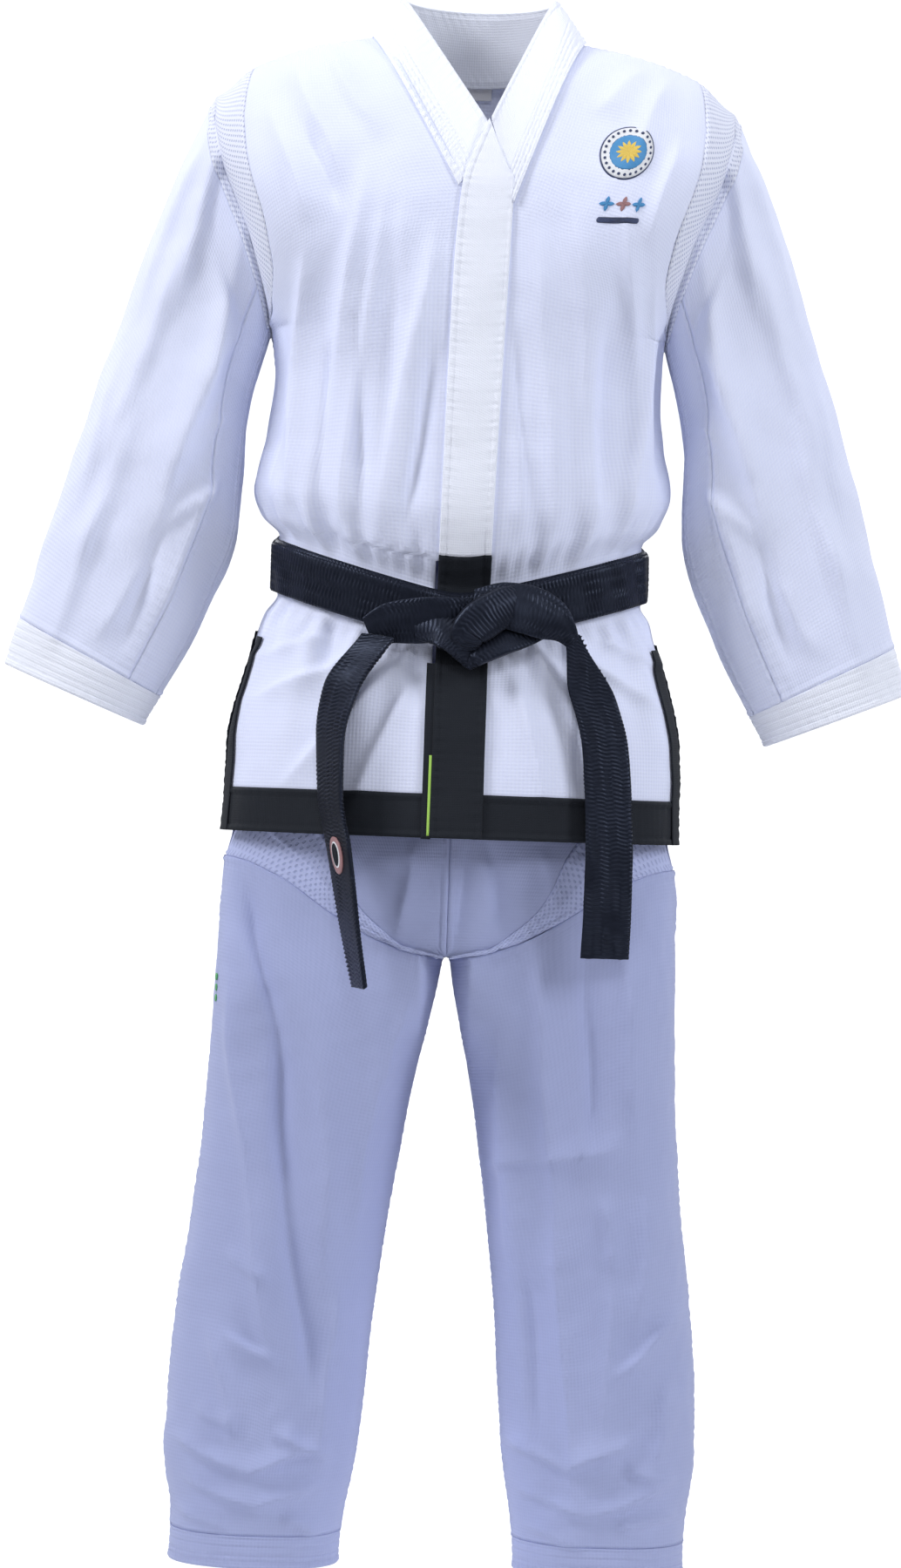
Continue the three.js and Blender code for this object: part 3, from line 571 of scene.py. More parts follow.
blue = embroidery("blue thread", (0.07, 0.33, 0.66, 1), (0.03, 0.19, 0.45, 1))
pale = embroidery("white thread", (0.90, 0.91, 0.94, 1), (0.68, 0.70, 0.76, 1))
yellow = embroidery("yellow thread", (0.95, 0.72, 0.13, 1), (0.72, 0.46, 0.05, 1))
rose = embroidery("rose thread", (0.50, 0.25, 0.26, 1), (0.20, 0.10, 0.11, 1))
print("finishes:", len(bpy.data.materials))

# %% [markdown]
# ## Jacket panels
# Front and back panels are cut from the same torso surface and meet at the side and shoulder seams.
# The front panels run on under the sewn bands, as they do in the real jacket. Each is cut in one piece
# down to the hem band: below the vents it is the flap.

# %% Fronts and back of the jacket
BLACK_RIGHT, BLACK_LEFT = -19.0, 28.0
SLANT = 44.0
white_right = profile([(SLANT, BLACK_RIGHT), (271, -15), (351, -10), V_POINT[::-1]])
lapel_foot = {1: (38.5, 337.0), -1: (13.5, 352.0)}
armhole_seam = profile([(0, 90), (0.56, 90), (0.68, 67.5), (1, 58.5)])
TUCK = 9.0
FLAP_FRONT, FLAP_BACK, FLAP_SHARE = 79.0, 86.0, 0.25
FRONT_FLAP = ("front_skirt", (0, -118, -78), (0, -128, -150))
BACK_FLAP = ("back_skirt", (0, 108, -50), (0, 120, -130))


def white_left(level):
    """The placket's left edge, which widens from the level where the band starts to slant."""
    return lerp(BLACK_LEFT, 37, np.clip((level - SLANT) / 290, 0, 1))


def lapel_outer(side, level):
    """Distance from the centre line to a lapel's outer edge."""
    x, z = lapel_foot[side]
    return lerp(x, NECK[0], (level - z) / (NECK[2] - z))


def panel_share(v):
    """Shares below 0 are the flap under the vents, and 0 to 1 run from there to the shoulder."""
    return lerp(-FLAP_SHARE, 1, v)


def full_level(phi, share):
    """The level of a whole panel from the hem band up to the shoulder seam."""
    return np.where(share < 0, lerp(VENT, HEM + TRIM - 8, -share / FLAP_SHARE), panel_level(phi, share))


def side_edge(flap_angle, share):
    """The side edge of a panel: the side seam, then the armhole, and below it the open vent."""
    open_vent = 1 - smooth(-0.09, 0.03, share)
    return lerp(armhole_seam(share), flap_angle, open_vent)


def hidden_edge(side):
    """The panel's edge under the black band."""
    return angle_at(BLACK_LEFT - TUCK) if side > 0 else angle_at(3 - BLACK_RIGHT)


def angle_at(x):
    """The angle round the jacket at a distance from the centre line, as a function of the level."""
    return lambda level: np.degrees(np.arcsin(x / half_width(level)))


def front_panel(side):
    """The front of one side, drawn as the wearer's left and mirrored for the right."""
    def inner(level):
        band = white_left(level) if side > 0 else -white_right(level)
        edge = np.where(level < lapel_foot[side][1], band, lapel_outer(side, level)) - TUCK
        return np.degrees(np.arcsin(edge / half_width(level)))

    def surface(u, v):
        share = panel_share(v)
        guess = inner(np.maximum(full_level(15, share), SLANT))
        level = full_level(guess, share)
        start = np.where(level < SLANT, hidden_edge(side)(level), inner(np.maximum(level, SLANT)))
        phi = lerp(start, side_edge(FLAP_FRONT, share), u)
        return torso(FRONT, phi, full_level(phi, share))
    return on_side(side)(surface)


def back_panel(u, v):
    """The whole back. At the neck its top edge dips by a half ellipse, sqrt(1 - reach^2)."""
    reach = np.clip(np.abs(1 - 2 * u) * 2.4, 0, 1)
    top = 1 - 0.3 * 39 / 90 * np.sqrt(1 - reach ** 2)
    share = panel_share(v)
    phi = side_edge(FLAP_BACK, share) * (1 - 2 * u)
    return torso(BACK, phi, full_level(phi, np.where(share > 0, share * top, share)))


def armhole_mesh(u, v):
    """The mesh yoke between the armhole seam and the sleeve, from front underarm over to the back."""
    share = np.where(u < 0.5, lerp(0.56, 1, u * 2), lerp(1, 0.56, u * 2 - 1))
    phi = lerp(90, armhole_seam(share), v)
    level = panel_level(phi, share)
    return np.where((u < 0.5)[..., None], torso(FRONT, phi, level), torso(BACK, phi, level))


def soft_relief(p):
    """The jacket's folds, faded out where the knit is too light to hold them."""
    return 0.35 * torso_relief(p)


for side in (1, -1):
    name = SIDE[side]
    p = shape(front_panel(side), 76, 270, relief=torso_relief, seams="t", seed=side)
    panel = thicken(mesh_piece(f"front_panel_{name}", p), CLOTH)
    dress(panel, white, "jacket_white", "jacket", [f"front_panel_{name}", f"skirt_front_{name}"], FRONT_FLAP)
    declare_cut(panel, p)
    p = shape(on_side(side)(armhole_mesh), 160, 14, relief=soft_relief, seams="t", seed=3)
    panel = thicken(mesh_piece(f"armhole_mesh_{SIDE[side]}", p), 1.0)
    dress(panel, net_fine, "mesh_white", "jacket", [f"armhole_mesh_{SIDE[side]}"])
p = shape(back_panel, 120, 240, relief=torso_relief, seams="tlr", seed=5)
panel = thicken(mesh_piece("back_panel", p), CLOTH)
dress(panel, white, "jacket_white", "jacket", ["back_panel", "skirt_back"], BACK_FLAP)
declare_cut(panel, p)
print("torso panels done")

# %% [markdown]
# ## The skirt of the jacket
# Below the belt the jacket opens into a front and a back flap, edged in black along the hem and the
# side vents.

# %% Hems and vents
def flap(face, start, end, low, high):
    """Part of a flap between two angles, which may follow the level, and two levels."""
    def surface(u, v):
        level = lerp(low, high, v)
        first = start(level) if callable(start) else start
        return torso(face, lerp(first, end, u), level)
    return surface


def add_flap(name, surface, columns, rows, finish, slot, bend, **options):
    """One piece of a flap, with the folds of the skirt."""
    p = shape(surface, columns, rows, relief=torso_relief, **options)
    piece = thicken(mesh_piece(name, p), CLOTH)
    dress(piece, finish, slot, "jacket", [name], bend)
    return piece, p


for side in (1, -1):
    name, turn = SIDE[side], on_side(side)
    hem = turn(flap(FRONT, hidden_edge(side), FLAP_FRONT, HEM, HEM + TRIM))
    add_flap(f"hem_trim_front_{name}", hem, 64, 20, black, "trim_black", FRONT_FLAP, lift=CLOTH, seams="tb")
    vent = turn(flap(FRONT, FLAP_FRONT - 6, FLAP_FRONT + 1.5, HEM, VENT - 4))
    add_flap(f"vent_trim_front_{name}", vent, 12, 70, black, "trim_black", FRONT_FLAP, lift=3, seams="")
    vent = turn(flap(BACK, 90, FLAP_BACK - 1, HEM, VENT))
    add_flap(f"vent_trim_back_{name}", vent, 10, 70, black, "trim_black", BACK_FLAP, lift=CLOTH, seams="lr")

hem = flap(BACK, FLAP_BACK, -FLAP_BACK, HEM, HEM + TRIM)
add_flap("hem_trim_back", hem, 130, 20, black, "trim_black", BACK_FLAP, lift=CLOTH, seams="tb")
print("skirt pieces done")

# %% [markdown]
# ## Bands, lapels and collar
# The closing band runs white down to the waist and black below it. The lapels are wide quilted bands:
# rows of stitching 6 mm apart pull the cloth into a grid of tiny cushions on their outer half.

# %% Bands
def on_front(x, level):
    """The point of the jacket's front at a distance from the centre line."""
    return torso(FRONT, phi_of(x, level), level)


def band(right, left, low, high):
    """A strip of the front between two edges and two levels."""
    def surface(u, v):
        level = lerp(low, high, v)
        return on_front(lerp(right, left, u), level)
    return surface


def placket(u, v):
    """The white band: its top edge slants from the crossing of the lapels down to the left."""
    level = lerp(BLACK_TOP, lerp(V_POINT[1], 360, u) + 8 * np.sin(np.pi * u), v)
    return on_front(lerp(white_right(level), white_left(level), u), level)


def lapel(side):
    """From the outer edge on the chest to the free edge along the neck opening."""
    x0, z0 = (13.0, 417) if side > 0 else (-22, 399)

    def surface(u, v):
        level = lerp(lapel_foot[side][1], NECK[2], v)
        outer = on_front(lapel_outer(side, level), level)
        first = on_front(x0, z0 + 0 * v)[..., 1]
        inner = stack(lerp(x0, COLLAR[0], v), lerp(first, -5, v), lerp(z0, COLLAR[2], v))
        bulge = 2 * np.sin(np.pi * u) * smooth(0.5, 1, v)
        return lerp(inner, outer, u[..., None]) + stack(0 * u, -0.6 * bulge, 0.8 * bulge)
    return on_side(side)(surface)


def collar(u, v):
    """The band behind the neck, leaning in towards the throat."""
    turn = np.pi * u
    x = lerp(NECK[0], COLLAR[0], v) * np.cos(turn)
    y = lerp(0, -5, v) + lerp(NECK[1] + 4, COLLAR[1], v) * np.sin(turn)
    z = lerp(NECK[2] - 34 * np.sin(turn), COLLAR[2] - 2 * np.sin(turn), v)
    return stack(x, y, z)


def quilting(across, along, rows, seed, depth=0.75):
    """Stitch rows as grooves, with cushions between them: depth * |sin| across times waves along."""
    rows = np.array(rows, float)
    near = np.abs(across[..., None] - rows).min(axis=-1)
    inside = smooth(rows[0] - 3, rows[0], across) * (1 - smooth(rows[-1], rows[-1] + 3, across))
    groove = -0.7 * np.exp(-(near / 0.8) ** 2) * inside
    pitch = 1.25 + 0.12 * np.sin(along * 0.05 + seed)
    wave = np.sin(along * pitch + 1.7 * np.sin(across * 0.9 + seed) + 0.8 * np.sin(along * 0.21))
    return groove + depth * (0.35 + 0.35 * wave) * smooth(0.3, 2.2, near) * inside


QUILT_ROWS = [2.5, 8.5, 14.5, 20.5, 26.5]


def add_band(name, surface, columns, rows, finish, slot, bend=None, lift=BAND_LIFT, thickness=BAND_LIFT,
             quilt=None, seams="lr", relief=torso_relief):
    """A sewn band; quilt names the side of u from which its stitch rows are counted."""
    u, v = shares(columns, rows)
    p = surface(u, v)
    height = lift + edge_relief(p, seams, len(name)) * 0.7
    if relief is not None:
        height = height + relief(p)
    if quilt:
        across = lengths(p, 1)
        across = across[:, -1:] - across if quilt == "r" else across
        height = height + quilting(across, lengths(p, 0), QUILT_ROWS, len(name))
    p = p + normals(surface, u, v) * height[..., None]
    piece = thicken(mesh_piece(name, p), thickness)
    dress(piece, finish, slot, "jacket", [name], bend)


add_band("placket_upper", placket, 48, 240, white_band, "jacket_white", lift=2.6)
add_band("placket_black_upper", band(BLACK_RIGHT, BLACK_LEFT, VENT, BLACK_TOP), 40, 80, black, "trim_black",
         seams="lrt")
add_band("placket_black_lower", band(BLACK_RIGHT, BLACK_LEFT, HEM, VENT), 40, 120, black, "trim_black",
         bend=FRONT_FLAP, lift=4.2, thickness=3, seams="lrb")
add_band("placket_piping", band(-21.4, -18.0, HEM + 1.5, HEM + 74), 8, 60, green, "piping_green",
         bend=FRONT_FLAP, lift=3.9, thickness=1.6, seams="")
add_band("placket_facing", band(-26.5, -18, HEM - 1, VENT), 12, 90, black, "trim_black",
         bend=FRONT_FLAP, lift=3.0, thickness=1.6, seams="")
for side in (1, -1):
    quilt, lift = ("r", 4.0) if side > 0 else ("l", 1.6)
    add_band(f"lapel_{SIDE[side]}", lapel(side), 72, 230, white_band, "jacket_white", quilt=quilt, lift=lift,
             thickness=1.4, relief=None)
add_band("collar_back", collar, 220, 34, white_band, "jacket_white", lift=1.2, thickness=3, seams="tb",
         relief=None)
print("bands done")

# %% [markdown]
# ## Sleeves
# A sleeve is a cone that starts as the armhole's tall oval and turns round towards the cuff. It hangs
# away from the body, so its folds start at the shoulder and drop towards the cuff, with a few short
# ones across the inside of the elbow.

# %% Sleeve surface
outer_x = profile([(0, 418), (0.26, 378), (0.54, 332), (0.79, 288), (0.91, 266), (1, 240)])
outer_z = profile([(0, -93), (0.26, 50), (0.54, 200), (0.79, 330), (0.91, 393), (1, 441)])
inner_x = profile([(0, 290), (0.27, 238), (0.52, 206), (0.76, 203), (0.9, 189), (1, 182)])
inner_z = profile([(0, -145), (0.27, -50), (0.52, 45), (0.76, 143), (0.9, 192), (1, 226)])
sleeve_depth = profile([(0, 50), (0.3, 55), (0.6, 60), (1, 62)])
GUSSET = (198.0, 234.0)
CUFF_SHARE, YOKE_SHARE = 0.078, 0.1


def sleeve(angle, along):
    """A point of the left sleeve. Angle 180 is its inner edge, 270 the front and 360 the outer edge."""
    c, s = np.cos(np.radians(angle)), np.sin(np.radians(angle))
    t = 0.5 + c / 2
    tube = stack(lerp(inner_x(along), outer_x(along), t), sleeve_depth(along) * s,
                 lerp(inner_z(along), outer_z(along), t))
    level = lerp(ARMHOLE_BOTTOM, ARMHOLE_TOP, t)
    hole = stack(half_width(level), np.sign(s) * armhole_depth(level), level)
    return lerp(tube, hole, smooth(0.7, 1, along)[..., None])


def sleeve_part(start, end, low, high):
    """The part of a sleeve between two angles and two shares of its length."""
    return lambda u, v: sleeve(lerp(start, end, u), lerp(low, high, v))


SLEEVE_FOLDS = [
    (222, 415, 268, 250, 12, 7), (206, 330, 238, 170, 9, 6), (246, 400, 300, 250, 10, 5),
    (212, 250, 262, 96, 12, 6), (262, 290, 322, 120, 11, 6), (240, 190, 286, 20, 14, 6),
    (228, 90, 276, -40, 9, 5), (300, 150, 352, -10, 12, 5), (268, 60, 312, -90, 10, -5),
    (330, 60, 372, -70, 10, 4), (216, 150, 262, 100, 8, 3), (226, 84, 276, 40, 8, 3),
    (286, 10, 330, -60, 9, 3), (208, 232, 240, 176, 7, 3), (318, 190, 352, 60, 10, 4),
]
SLEEVE_BACK_FOLDS = [
    (216, 400, 262, 200, 13, 6), (250, 330, 300, 160, 12, 5), (232, 170, 282, 10, 12, 5),
    (300, 120, 350, -60, 12, 5), (214, 150, 262, 70, 10, 4), (232, 60, 282, 0, 10, 4),
]


def sleeve_relief(p):
    """Folds of a sleeve, alike on both sides of the wearer but not exact mirror images."""
    x, y, z = np.abs(p[..., 0]), p[..., 1], p[..., 2] + 6 * (p[..., 0] < 0)
    front = smooth(-12, 12, -y)
    height = lerp(ridge(x, z, SLEEVE_BACK_FOLDS), ridge(x, z, SLEEVE_FOLDS), front)
    seed = np.where(p[..., 0] > 0, 0, 37)
    fine = 1.8 * wrinkles(x + seed, z + y, 80, 11) + 0.6 * wrinkles(x, z + y + seed, 30, 12)
    cuff = smooth(0, 60, (x - 354) * 0.37 - (z + 119) * -0.93)
    armhole = smooth(0, 40, np.hypot(x - 211, z - 333) - 100 + 140 * (x - 200) / 60)
    return (1.4 * height + fine) * cuff * np.clip(armhole, 0.25, 1)


def arm_bend(side):
    """The sleeve's body, a point at the shoulder and one past the cap."""
    return (SLEEVE_BODY[side], (side * 211, 0, 333), (side * 336, 0, 299))


def cuff_stitches(across, along):
    """Six rows of stitching round the cuff, 8 mm apart."""
    return 0.5 * quilting(across, along, [4, 12, 20, 28, 36, 43], 3, 0.7)


for side in (1, -1):
    name, turn = SIDE[side], on_side(side)
    parts = (("sleeve_mesh", 180, 540, 1 - YOKE_SHARE, 1, 150, 18, net_fine, "mesh_white", "b"),
             ("sleeve_main", GUSSET[1], GUSSET[0] + 360, CUFF_SHARE, 1 - YOKE_SHARE, 110, 170, white,
              "jacket_white", "lrb"),
             ("sleeve_gusset", GUSSET[0], GUSSET[1], CUFF_SHARE, 1 - YOKE_SHARE, 24, 170, white,
              "jacket_white", "lr"),
             ("cuff", 180, 540, 0, CUFF_SHARE, 150, 50, white_band, "jacket_white", "b"))
    for kind, start, end, low, high, columns, rows, finish, slot, seams in parts:
        surface = turn(sleeve_part(start, end, low, high))
        u, v = shares(columns, rows)
        p = surface(u, v)
        height = edge_relief(p, seams, side) + sleeve_relief(p)
        if kind == "cuff":
            height = height + 0.8 + cuff_stitches(lengths(p, 0), lengths(p, 1))
        p = p + normals(surface, u, v) * height[..., None]
        ring = end - start == 360
        if ring:
            p[:, -1] = p[:, 0]
        piece = thicken(mesh_piece(f"{kind}_{name}", p, ring=ring), 1.0 if kind == "sleeve_mesh" else CLOTH)
        dress(piece, finish, slot, "jacket", [f"{kind}_{name}"], arm_bend(side))
        if kind == "sleeve_main":
            declare_cut(piece, p)
print("sleeves done")

# %% [markdown]
# ## The belt
# A belt is one long band with a firm core, sewn through in a dozen lengthwise rows. The rows draw the
# satin into fine cross ripples that wander from row to row, and they give the black its silky streaks.

# %% Belt surface
RIPPLE = 3.8


def ripples(across, along, seed):
    """Cross ripples 3.8 mm apart whose phase wanders between the stitch rows, 3.8 mm apart."""
    drift = 1.5 * np.sin(across * 0.42 + seed) + 0.9 * np.sin(along * 0.11 + across * 0.2)
    drift = drift + 0.8 * np.sin(across * 1.1 + along * 0.05 + 2 * seed)
    wave = np.sin(2 * np.pi * along / RIPPLE + drift)
    patchy = 0.55 + 0.45 * wrinkles(across, along, 40, 20 + seed) * 2
    rows = np.abs(np.sin(np.pi * across / 3.8))
    return 0.75 * wave * np.clip(patchy, 0.1, 1.2) * (0.5 + 0.5 * rows) - 0.12 * np.exp(-(rows / 0.25) ** 2)


def belt_wrap(offset, drop):
    """A turn of the belt round the waist; u runs from the centre front anticlockwise."""
    def surface(u, v):
        turn = 2 * np.pi * u
        face = np.where(np.cos(turn) > 0, FRONT, BACK)
        c = np.abs(np.cos(turn))
        depth = np.where(face < 0, front_depth(0.0), back_depth(0.0))
        height = belt_height(face, np.degrees(turn)) + drop + BELT_WIDTH * (v - 0.5)
        x, y = (half_width(0.0) + offset) * np.sin(turn), face * (depth * c ** 0.9 + offset * c)
        return stack(x, y, height)
    return surface


def belt_strip(name, surface, columns, rows, seed, body="jacket", thickness=BELT_CLOTH, ring=False,
               along_u=True, sag=None):
    """A piece of belt; its length runs along u for the wraps and along v for the hanging ends."""
    u, v = shares(columns, rows)
    p = surface(u, v)
    across, along = (lengths(p, 0), lengths(p, 1)) if along_u else (lengths(p, 1), lengths(p, 0))
    height = ripples(across, along, seed) - 0.9 * np.exp(-across / 1.2)
    height = height - 0.9 * np.exp(-(across.max() - across) / 1.2)
    if sag is not None:
        height = height + sag(p)
    p = p + normals(surface, u, v) * height[..., None]
    if ring:
        p[:, -1] = p[:, 0]
    piece = thicken(mesh_piece(name, p, ring=ring), thickness)
    return dress(piece, belt_satin, "belt_satin", body, [name])


belt_strip("belt_wrap_inner", belt_wrap(4.2, 1.5), 1200, 12, 1, ring=True)
belt_strip("belt_wrap_outer", belt_wrap(7.4, -1.5), 2000, 22, 2, ring=True)


# %% [markdown]
# ## The knot
# The flat knot is five folds of the same belt: the end that comes in from the right of the wearer, the
# thick tube that crosses over it, the turn below, the loop that leads to the left end, and the facet
# where the strap dives under. Each is a flattened tube swept along a path, creased along its middle.

# %% Straps of the knot
def strap(name, path, ripple_seed, steps=200, around=80, crease=1.5):
    """A folded strap. Each path row is x, y, z, width, thickness and roll in degrees; the cross section
    is a superellipse, |x/a|^4 + |y/b|^4 = 1 for a flat band, set square to the path."""
    path = np.array(path, float)
    knots = np.linspace(0, 1, len(path))
    t = np.linspace(0, 1, steps)
    rows = np.stack([profile(list(zip(knots, path[:, k])))(t) for k in range(6)], axis=-1)
    centre, width, thick, roll = rows[:, :3], rows[:, 3], rows[:, 4], np.radians(rows[:, 5])
    for _ in range(12):
        centre[1:-1] = (centre[:-2] + 2 * centre[1:-1] + centre[2:]) / 4
    ahead = np.gradient(centre, axis=0)
    ahead = ahead / np.linalg.norm(ahead, axis=1, keepdims=True)
    out = np.array([0, -1.0, 0]) - ahead * (ahead @ np.array([0, -1.0, 0]))[:, None]
    out = out / np.linalg.norm(out, axis=1, keepdims=True)
    side = np.cross(out, ahead)
    wide = side * np.cos(roll)[:, None] + out * np.sin(roll)[:, None]
    up = -side * np.sin(roll)[:, None] + out * np.cos(roll)[:, None]
    a = np.linspace(0, 2 * np.pi, around, endpoint=False)
    c, s = np.cos(a), np.sin(a)
    cx = np.sign(c) * np.abs(c) ** 0.5
    cy = np.sign(s) * np.abs(s) ** 0.5
    along = np.concatenate([[0], np.cumsum(np.linalg.norm(np.diff(centre, axis=0), axis=1))])
    across = cx[None, :] * width[:, None] / 2
    swell = ripples(across + 40, along[:, None] + 0 * across, ripple_seed) * 1.1
    crown = crease * np.exp(-(across / (0.22 * width[:, None])) ** 2) * np.sign(cy)[None, :]
    half = thick[:, None] / 2 * (0.75 + 0.25 * np.abs(cy)[None, :])
    height = (half + swell) * cy[None, :] + crown * np.abs(cy)[None, :]
    rings = centre[:, None] + wide[:, None] * across[..., None] + up[:, None] * height[..., None]
    return tube(name, rings)


KNOT_STRAPS = {
    "belt_knot": [(-80, -122, -56, 30, 4, 0), (-58, -126, -46, 38, 5, 4), (-30, -129, -43, 42, 5, 8),
                  (-6, -131, -38, 34, 5, 10), (14, -127, -34, 24, 4, 6)],
    "knot_loop": [(14, -126, -26, 26, 5, 0), (40, -132, -27, 42, 6, -8), (64, -134, -31, 46, 6, -14),
                  (84, -131, -39, 40, 6, -10), (97, -127, -49, 24, 5, 0), (104, -123, -58, 14, 4, 6)],
    "knot_lower": [(74, -124, -44, 26, 4, 10), (54, -131, -53, 30, 6, 22), (34, -137, -63, 28, 8, 28),
                   (18, -140, -74, 20, 8, 24), (10, -136, -84, 8, 5, 0)],
    "knot_tube": [(56, -128, -20, 26, 6, -6), (40, -136, -29, 36, 11, -8), (22, -142, -41, 38, 15, -8),
                  (9, -143, -55, 32, 14, -4), (6, -138, -68, 22, 9, 0), (8, -132, -76, 12, 5, 0)],
    "knot_facet": [(-38, -128, -50, 22, 4, -14), (-20, -133, -48, 36, 5, -22), (-4, -138, -54, 40, 6, -26),
                   (6, -140, -68, 28, 6, -20), (11, -136, -84, 6, 4, 0)],
}
for seed, (name, path) in enumerate(KNOT_STRAPS.items()):
    dress(strap(name, path, seed + 3), belt_satin, "belt_satin", "jacket",
          ["belt_knot"] if name == "belt_knot" else [])


# %% [markdown]
# ## The belt's hanging ends
# Both ends leave the knot nearly edge on and turn as they fall. They are stiff enough to stand off the
# jacket a little and end in a square cut with a few rows of cross stitching.

# %% Belt ends and their label
def hanging(path, neck):
    """A strip along a path of (x, y, z, turn about the upright in degrees), v running up. It is gathered
    to a share of its width where it leaves the knot."""
    knots = np.linspace(0, 1, len(path))
    parts = [profile([(k, row[i]) for k, row in zip(knots, path)]) for i in range(4)]

    def surface(u, v):
        x, y, z, turn = (part(1 - v) for part in parts)
        reach = (u - 0.5) * BELT_WIDTH * lerp(1, neck, smooth(0.8, 1, v))
        return stack(x + reach * np.cos(np.radians(turn)), y + reach * np.sin(np.radians(turn)),
                     z - 0.12 * reach * smooth(0.3, 1, v))
    return surface


left_end = hanging([(103, -124, -50, 8), (122, -124, -100, 14), (137, -126, -150, 18), (142, -131, -205, 18),
                    (144, -136, -255, 16), (144, -136, -300, 14), (143, -134, -343, 12)], 0.35)
right_end = hanging([(-72, -132, -58, -20), (-104, -134, -105, -44), (-113, -142, -150, -56),
                     (-111, -150, -205, -60), (-101, -155, -255, -62), (-90, -156, -320, -68),
                     (-79, -155, -376, -74)], 0.7)


def end_stitches(p):
    """Five cross rows near the cut end."""
    from_end = lengths(p, 0)
    return -0.35 * sum(np.exp(-((from_end - at) / 0.7) ** 2) for at in (5, 9, 13, 17, 21))


belt_strip("belt_tail_left", left_end, 26, 560, 5, body="belt_tail_left", thickness=3.4, along_u=False,
           sag=end_stitches)
belt_strip("belt_tail_right", right_end, 26, 580, 6, body="belt_tail_right", thickness=3.4, along_u=False,
           sag=end_stitches)


def scale_at(surface, centre, step=1e-3):
    """Millimetres of cloth per unit of u and of v at a point."""
    u, v = (np.array([c]) for c in centre)
    wide = np.linalg.norm(surface(u + step, v) - surface(u - step, v)) / (2 * step)
    tall = np.linalg.norm(surface(u, v + step) - surface(u, v - step)) / (2 * step)
    return float(wide), float(tall)


def motif(name, surface, centre, shape_points, height, finish, slot, body, nodes=(), base=0.6, bend=None):
    """A patch of satin stitch: a closed outline in mm, domed from its edge to its middle and ridged."""
    outline = np.array(shape_points, float)
    middle = outline.mean(axis=0)
    wide, tall = scale_at(surface, centre)
    share = np.linspace(1, 0.02, 16)[:, None, None]
    loop = np.concatenate([outline, outline[:1]])[None]
    flat = middle + (loop - middle) * share
    u, v = centre[0] + flat[..., 0] / wide, centre[1] + flat[..., 1] / tall
    dome = base + height * np.sqrt(np.clip(1 - share[..., 0] ** 3, 0, 1))
    ridges = 0.10 * np.sin(flat[..., 1] * 6.5) * (1 - share[..., 0] ** 6)
    p = surface(u, v) + normals(surface, u, v) * (dome + ridges)[..., None]
    piece = mesh_piece(name, p, ring=True)
    thicken(piece, height + base + 0.6)
    return dress(piece, finish, slot, body, nodes, bend)


def oval(a, b, count=96, x=0.0, z=0.0):
    """An ellipse with half axes a and b, as an outline."""
    turn = np.linspace(0, 2 * np.pi, count, endpoint=False)
    return np.stack([x + a * np.cos(turn), z + b * np.sin(turn)], axis=-1)


def bar(x, z, length, width):
    """A level bar with round ends, as an outline."""
    turn = np.linspace(0, 2 * np.pi, 48, endpoint=False)
    px = np.clip(np.cos(turn) * 3, -1, 1) * (length - width) / 2 + np.cos(turn) * width / 2
    pz = np.sin(turn) * width / 2
    return np.stack([x + px, z + pz], axis=-1)


motif("belt_label", right_end, (0.5, 0.33), oval(11, 17), 0.7, rose, "label_rose", "belt_tail_right",
      ["belt_label"], base=1.2)
motif("belt_label_ring", right_end, (0.5, 0.33), oval(7.5, 12.5), 1.0, pale, "label_rose", "belt_tail_right",
      base=1.5)
motif("belt_label_core", right_end, (0.5, 0.33), oval(6, 11), 1.2, black, "label_rose", "belt_tail_right",
      base=1.8)
print("belt done")

# %% [markdown]
# ## Embroidery
# The chest badge is a raised disc of satin stitch inside two rims, with a plain many-rayed sun, and
# below it sit three small stars over a plain bar. They are drawn as outlines in millimetres and domed.

# %% Badge, mark and label
def chest(u, v):
    """The jacket's front with its folds, on a chart of 90 degrees by 500 mm."""
    p = torso(FRONT, 90 * u, 500 * v)
    out = np.array([0.45, -0.88, 0.1])
    return p + out * torso_relief(p)[..., None]


def sun(rays, long, short, count=8):
    """An outline of rays: the radius swings between two lengths."""
    turn = np.linspace(0, 2 * np.pi, rays * count, endpoint=False)
    saw = np.abs((turn * rays / (2 * np.pi)) % 1 * 2 - 1)
    radius = lerp(short, long, saw)
    return np.stack([radius * np.cos(turn), radius * np.sin(turn)], axis=-1)


BADGE = (0.403, 0.776)
motif("chest_badge", chest, BADGE, oval(30, 30), 0.7, navy, "badge_blue", "jacket", ["chest_badge"], base=0.4)
motif("badge_ring", chest, BADGE, oval(28.3, 28.3), 0.7, pale, "badge_blue", "jacket", base=0.9)
motif("badge_rim", chest, BADGE, oval(20.8, 20.8), 0.7, navy, "badge_blue", "jacket", base=1.2)
motif("badge_disc", chest, BADGE, oval(19.4, 19.4), 0.7, blue, "badge_blue", "jacket", base=1.5)
motif("badge_sun", chest, BADGE, sun(12, 13.5, 8.0), 0.8, yellow, "badge_blue", "jacket", base=1.9)
for i in range(24):
    turn = 2 * np.pi * i / 24
    x, z = 24.6 * np.cos(turn), 24.6 * np.sin(turn)
    motif(f"badge_bead_{i}", chest, BADGE, oval(1.6, 1.6, 20, x, z), 0.5, navy, "badge_blue", "jacket",
          base=1.6)

MARK = (0.425, 0.676)
motif("chest_mark", chest, MARK, bar(2, -14, 44, 6), 0.8, navy, "mark_navy", "jacket", ["chest_mark"],
      base=0.4)
for i, thread in enumerate((blue, rose, blue)):
    star = sun(4, 7.5, 2.6) + np.array([-14 + 16 * i, 2])
    motif(f"mark_star_{i}", chest, MARK, star, 0.8, thread, "mark_navy", "jacket", base=0.4)


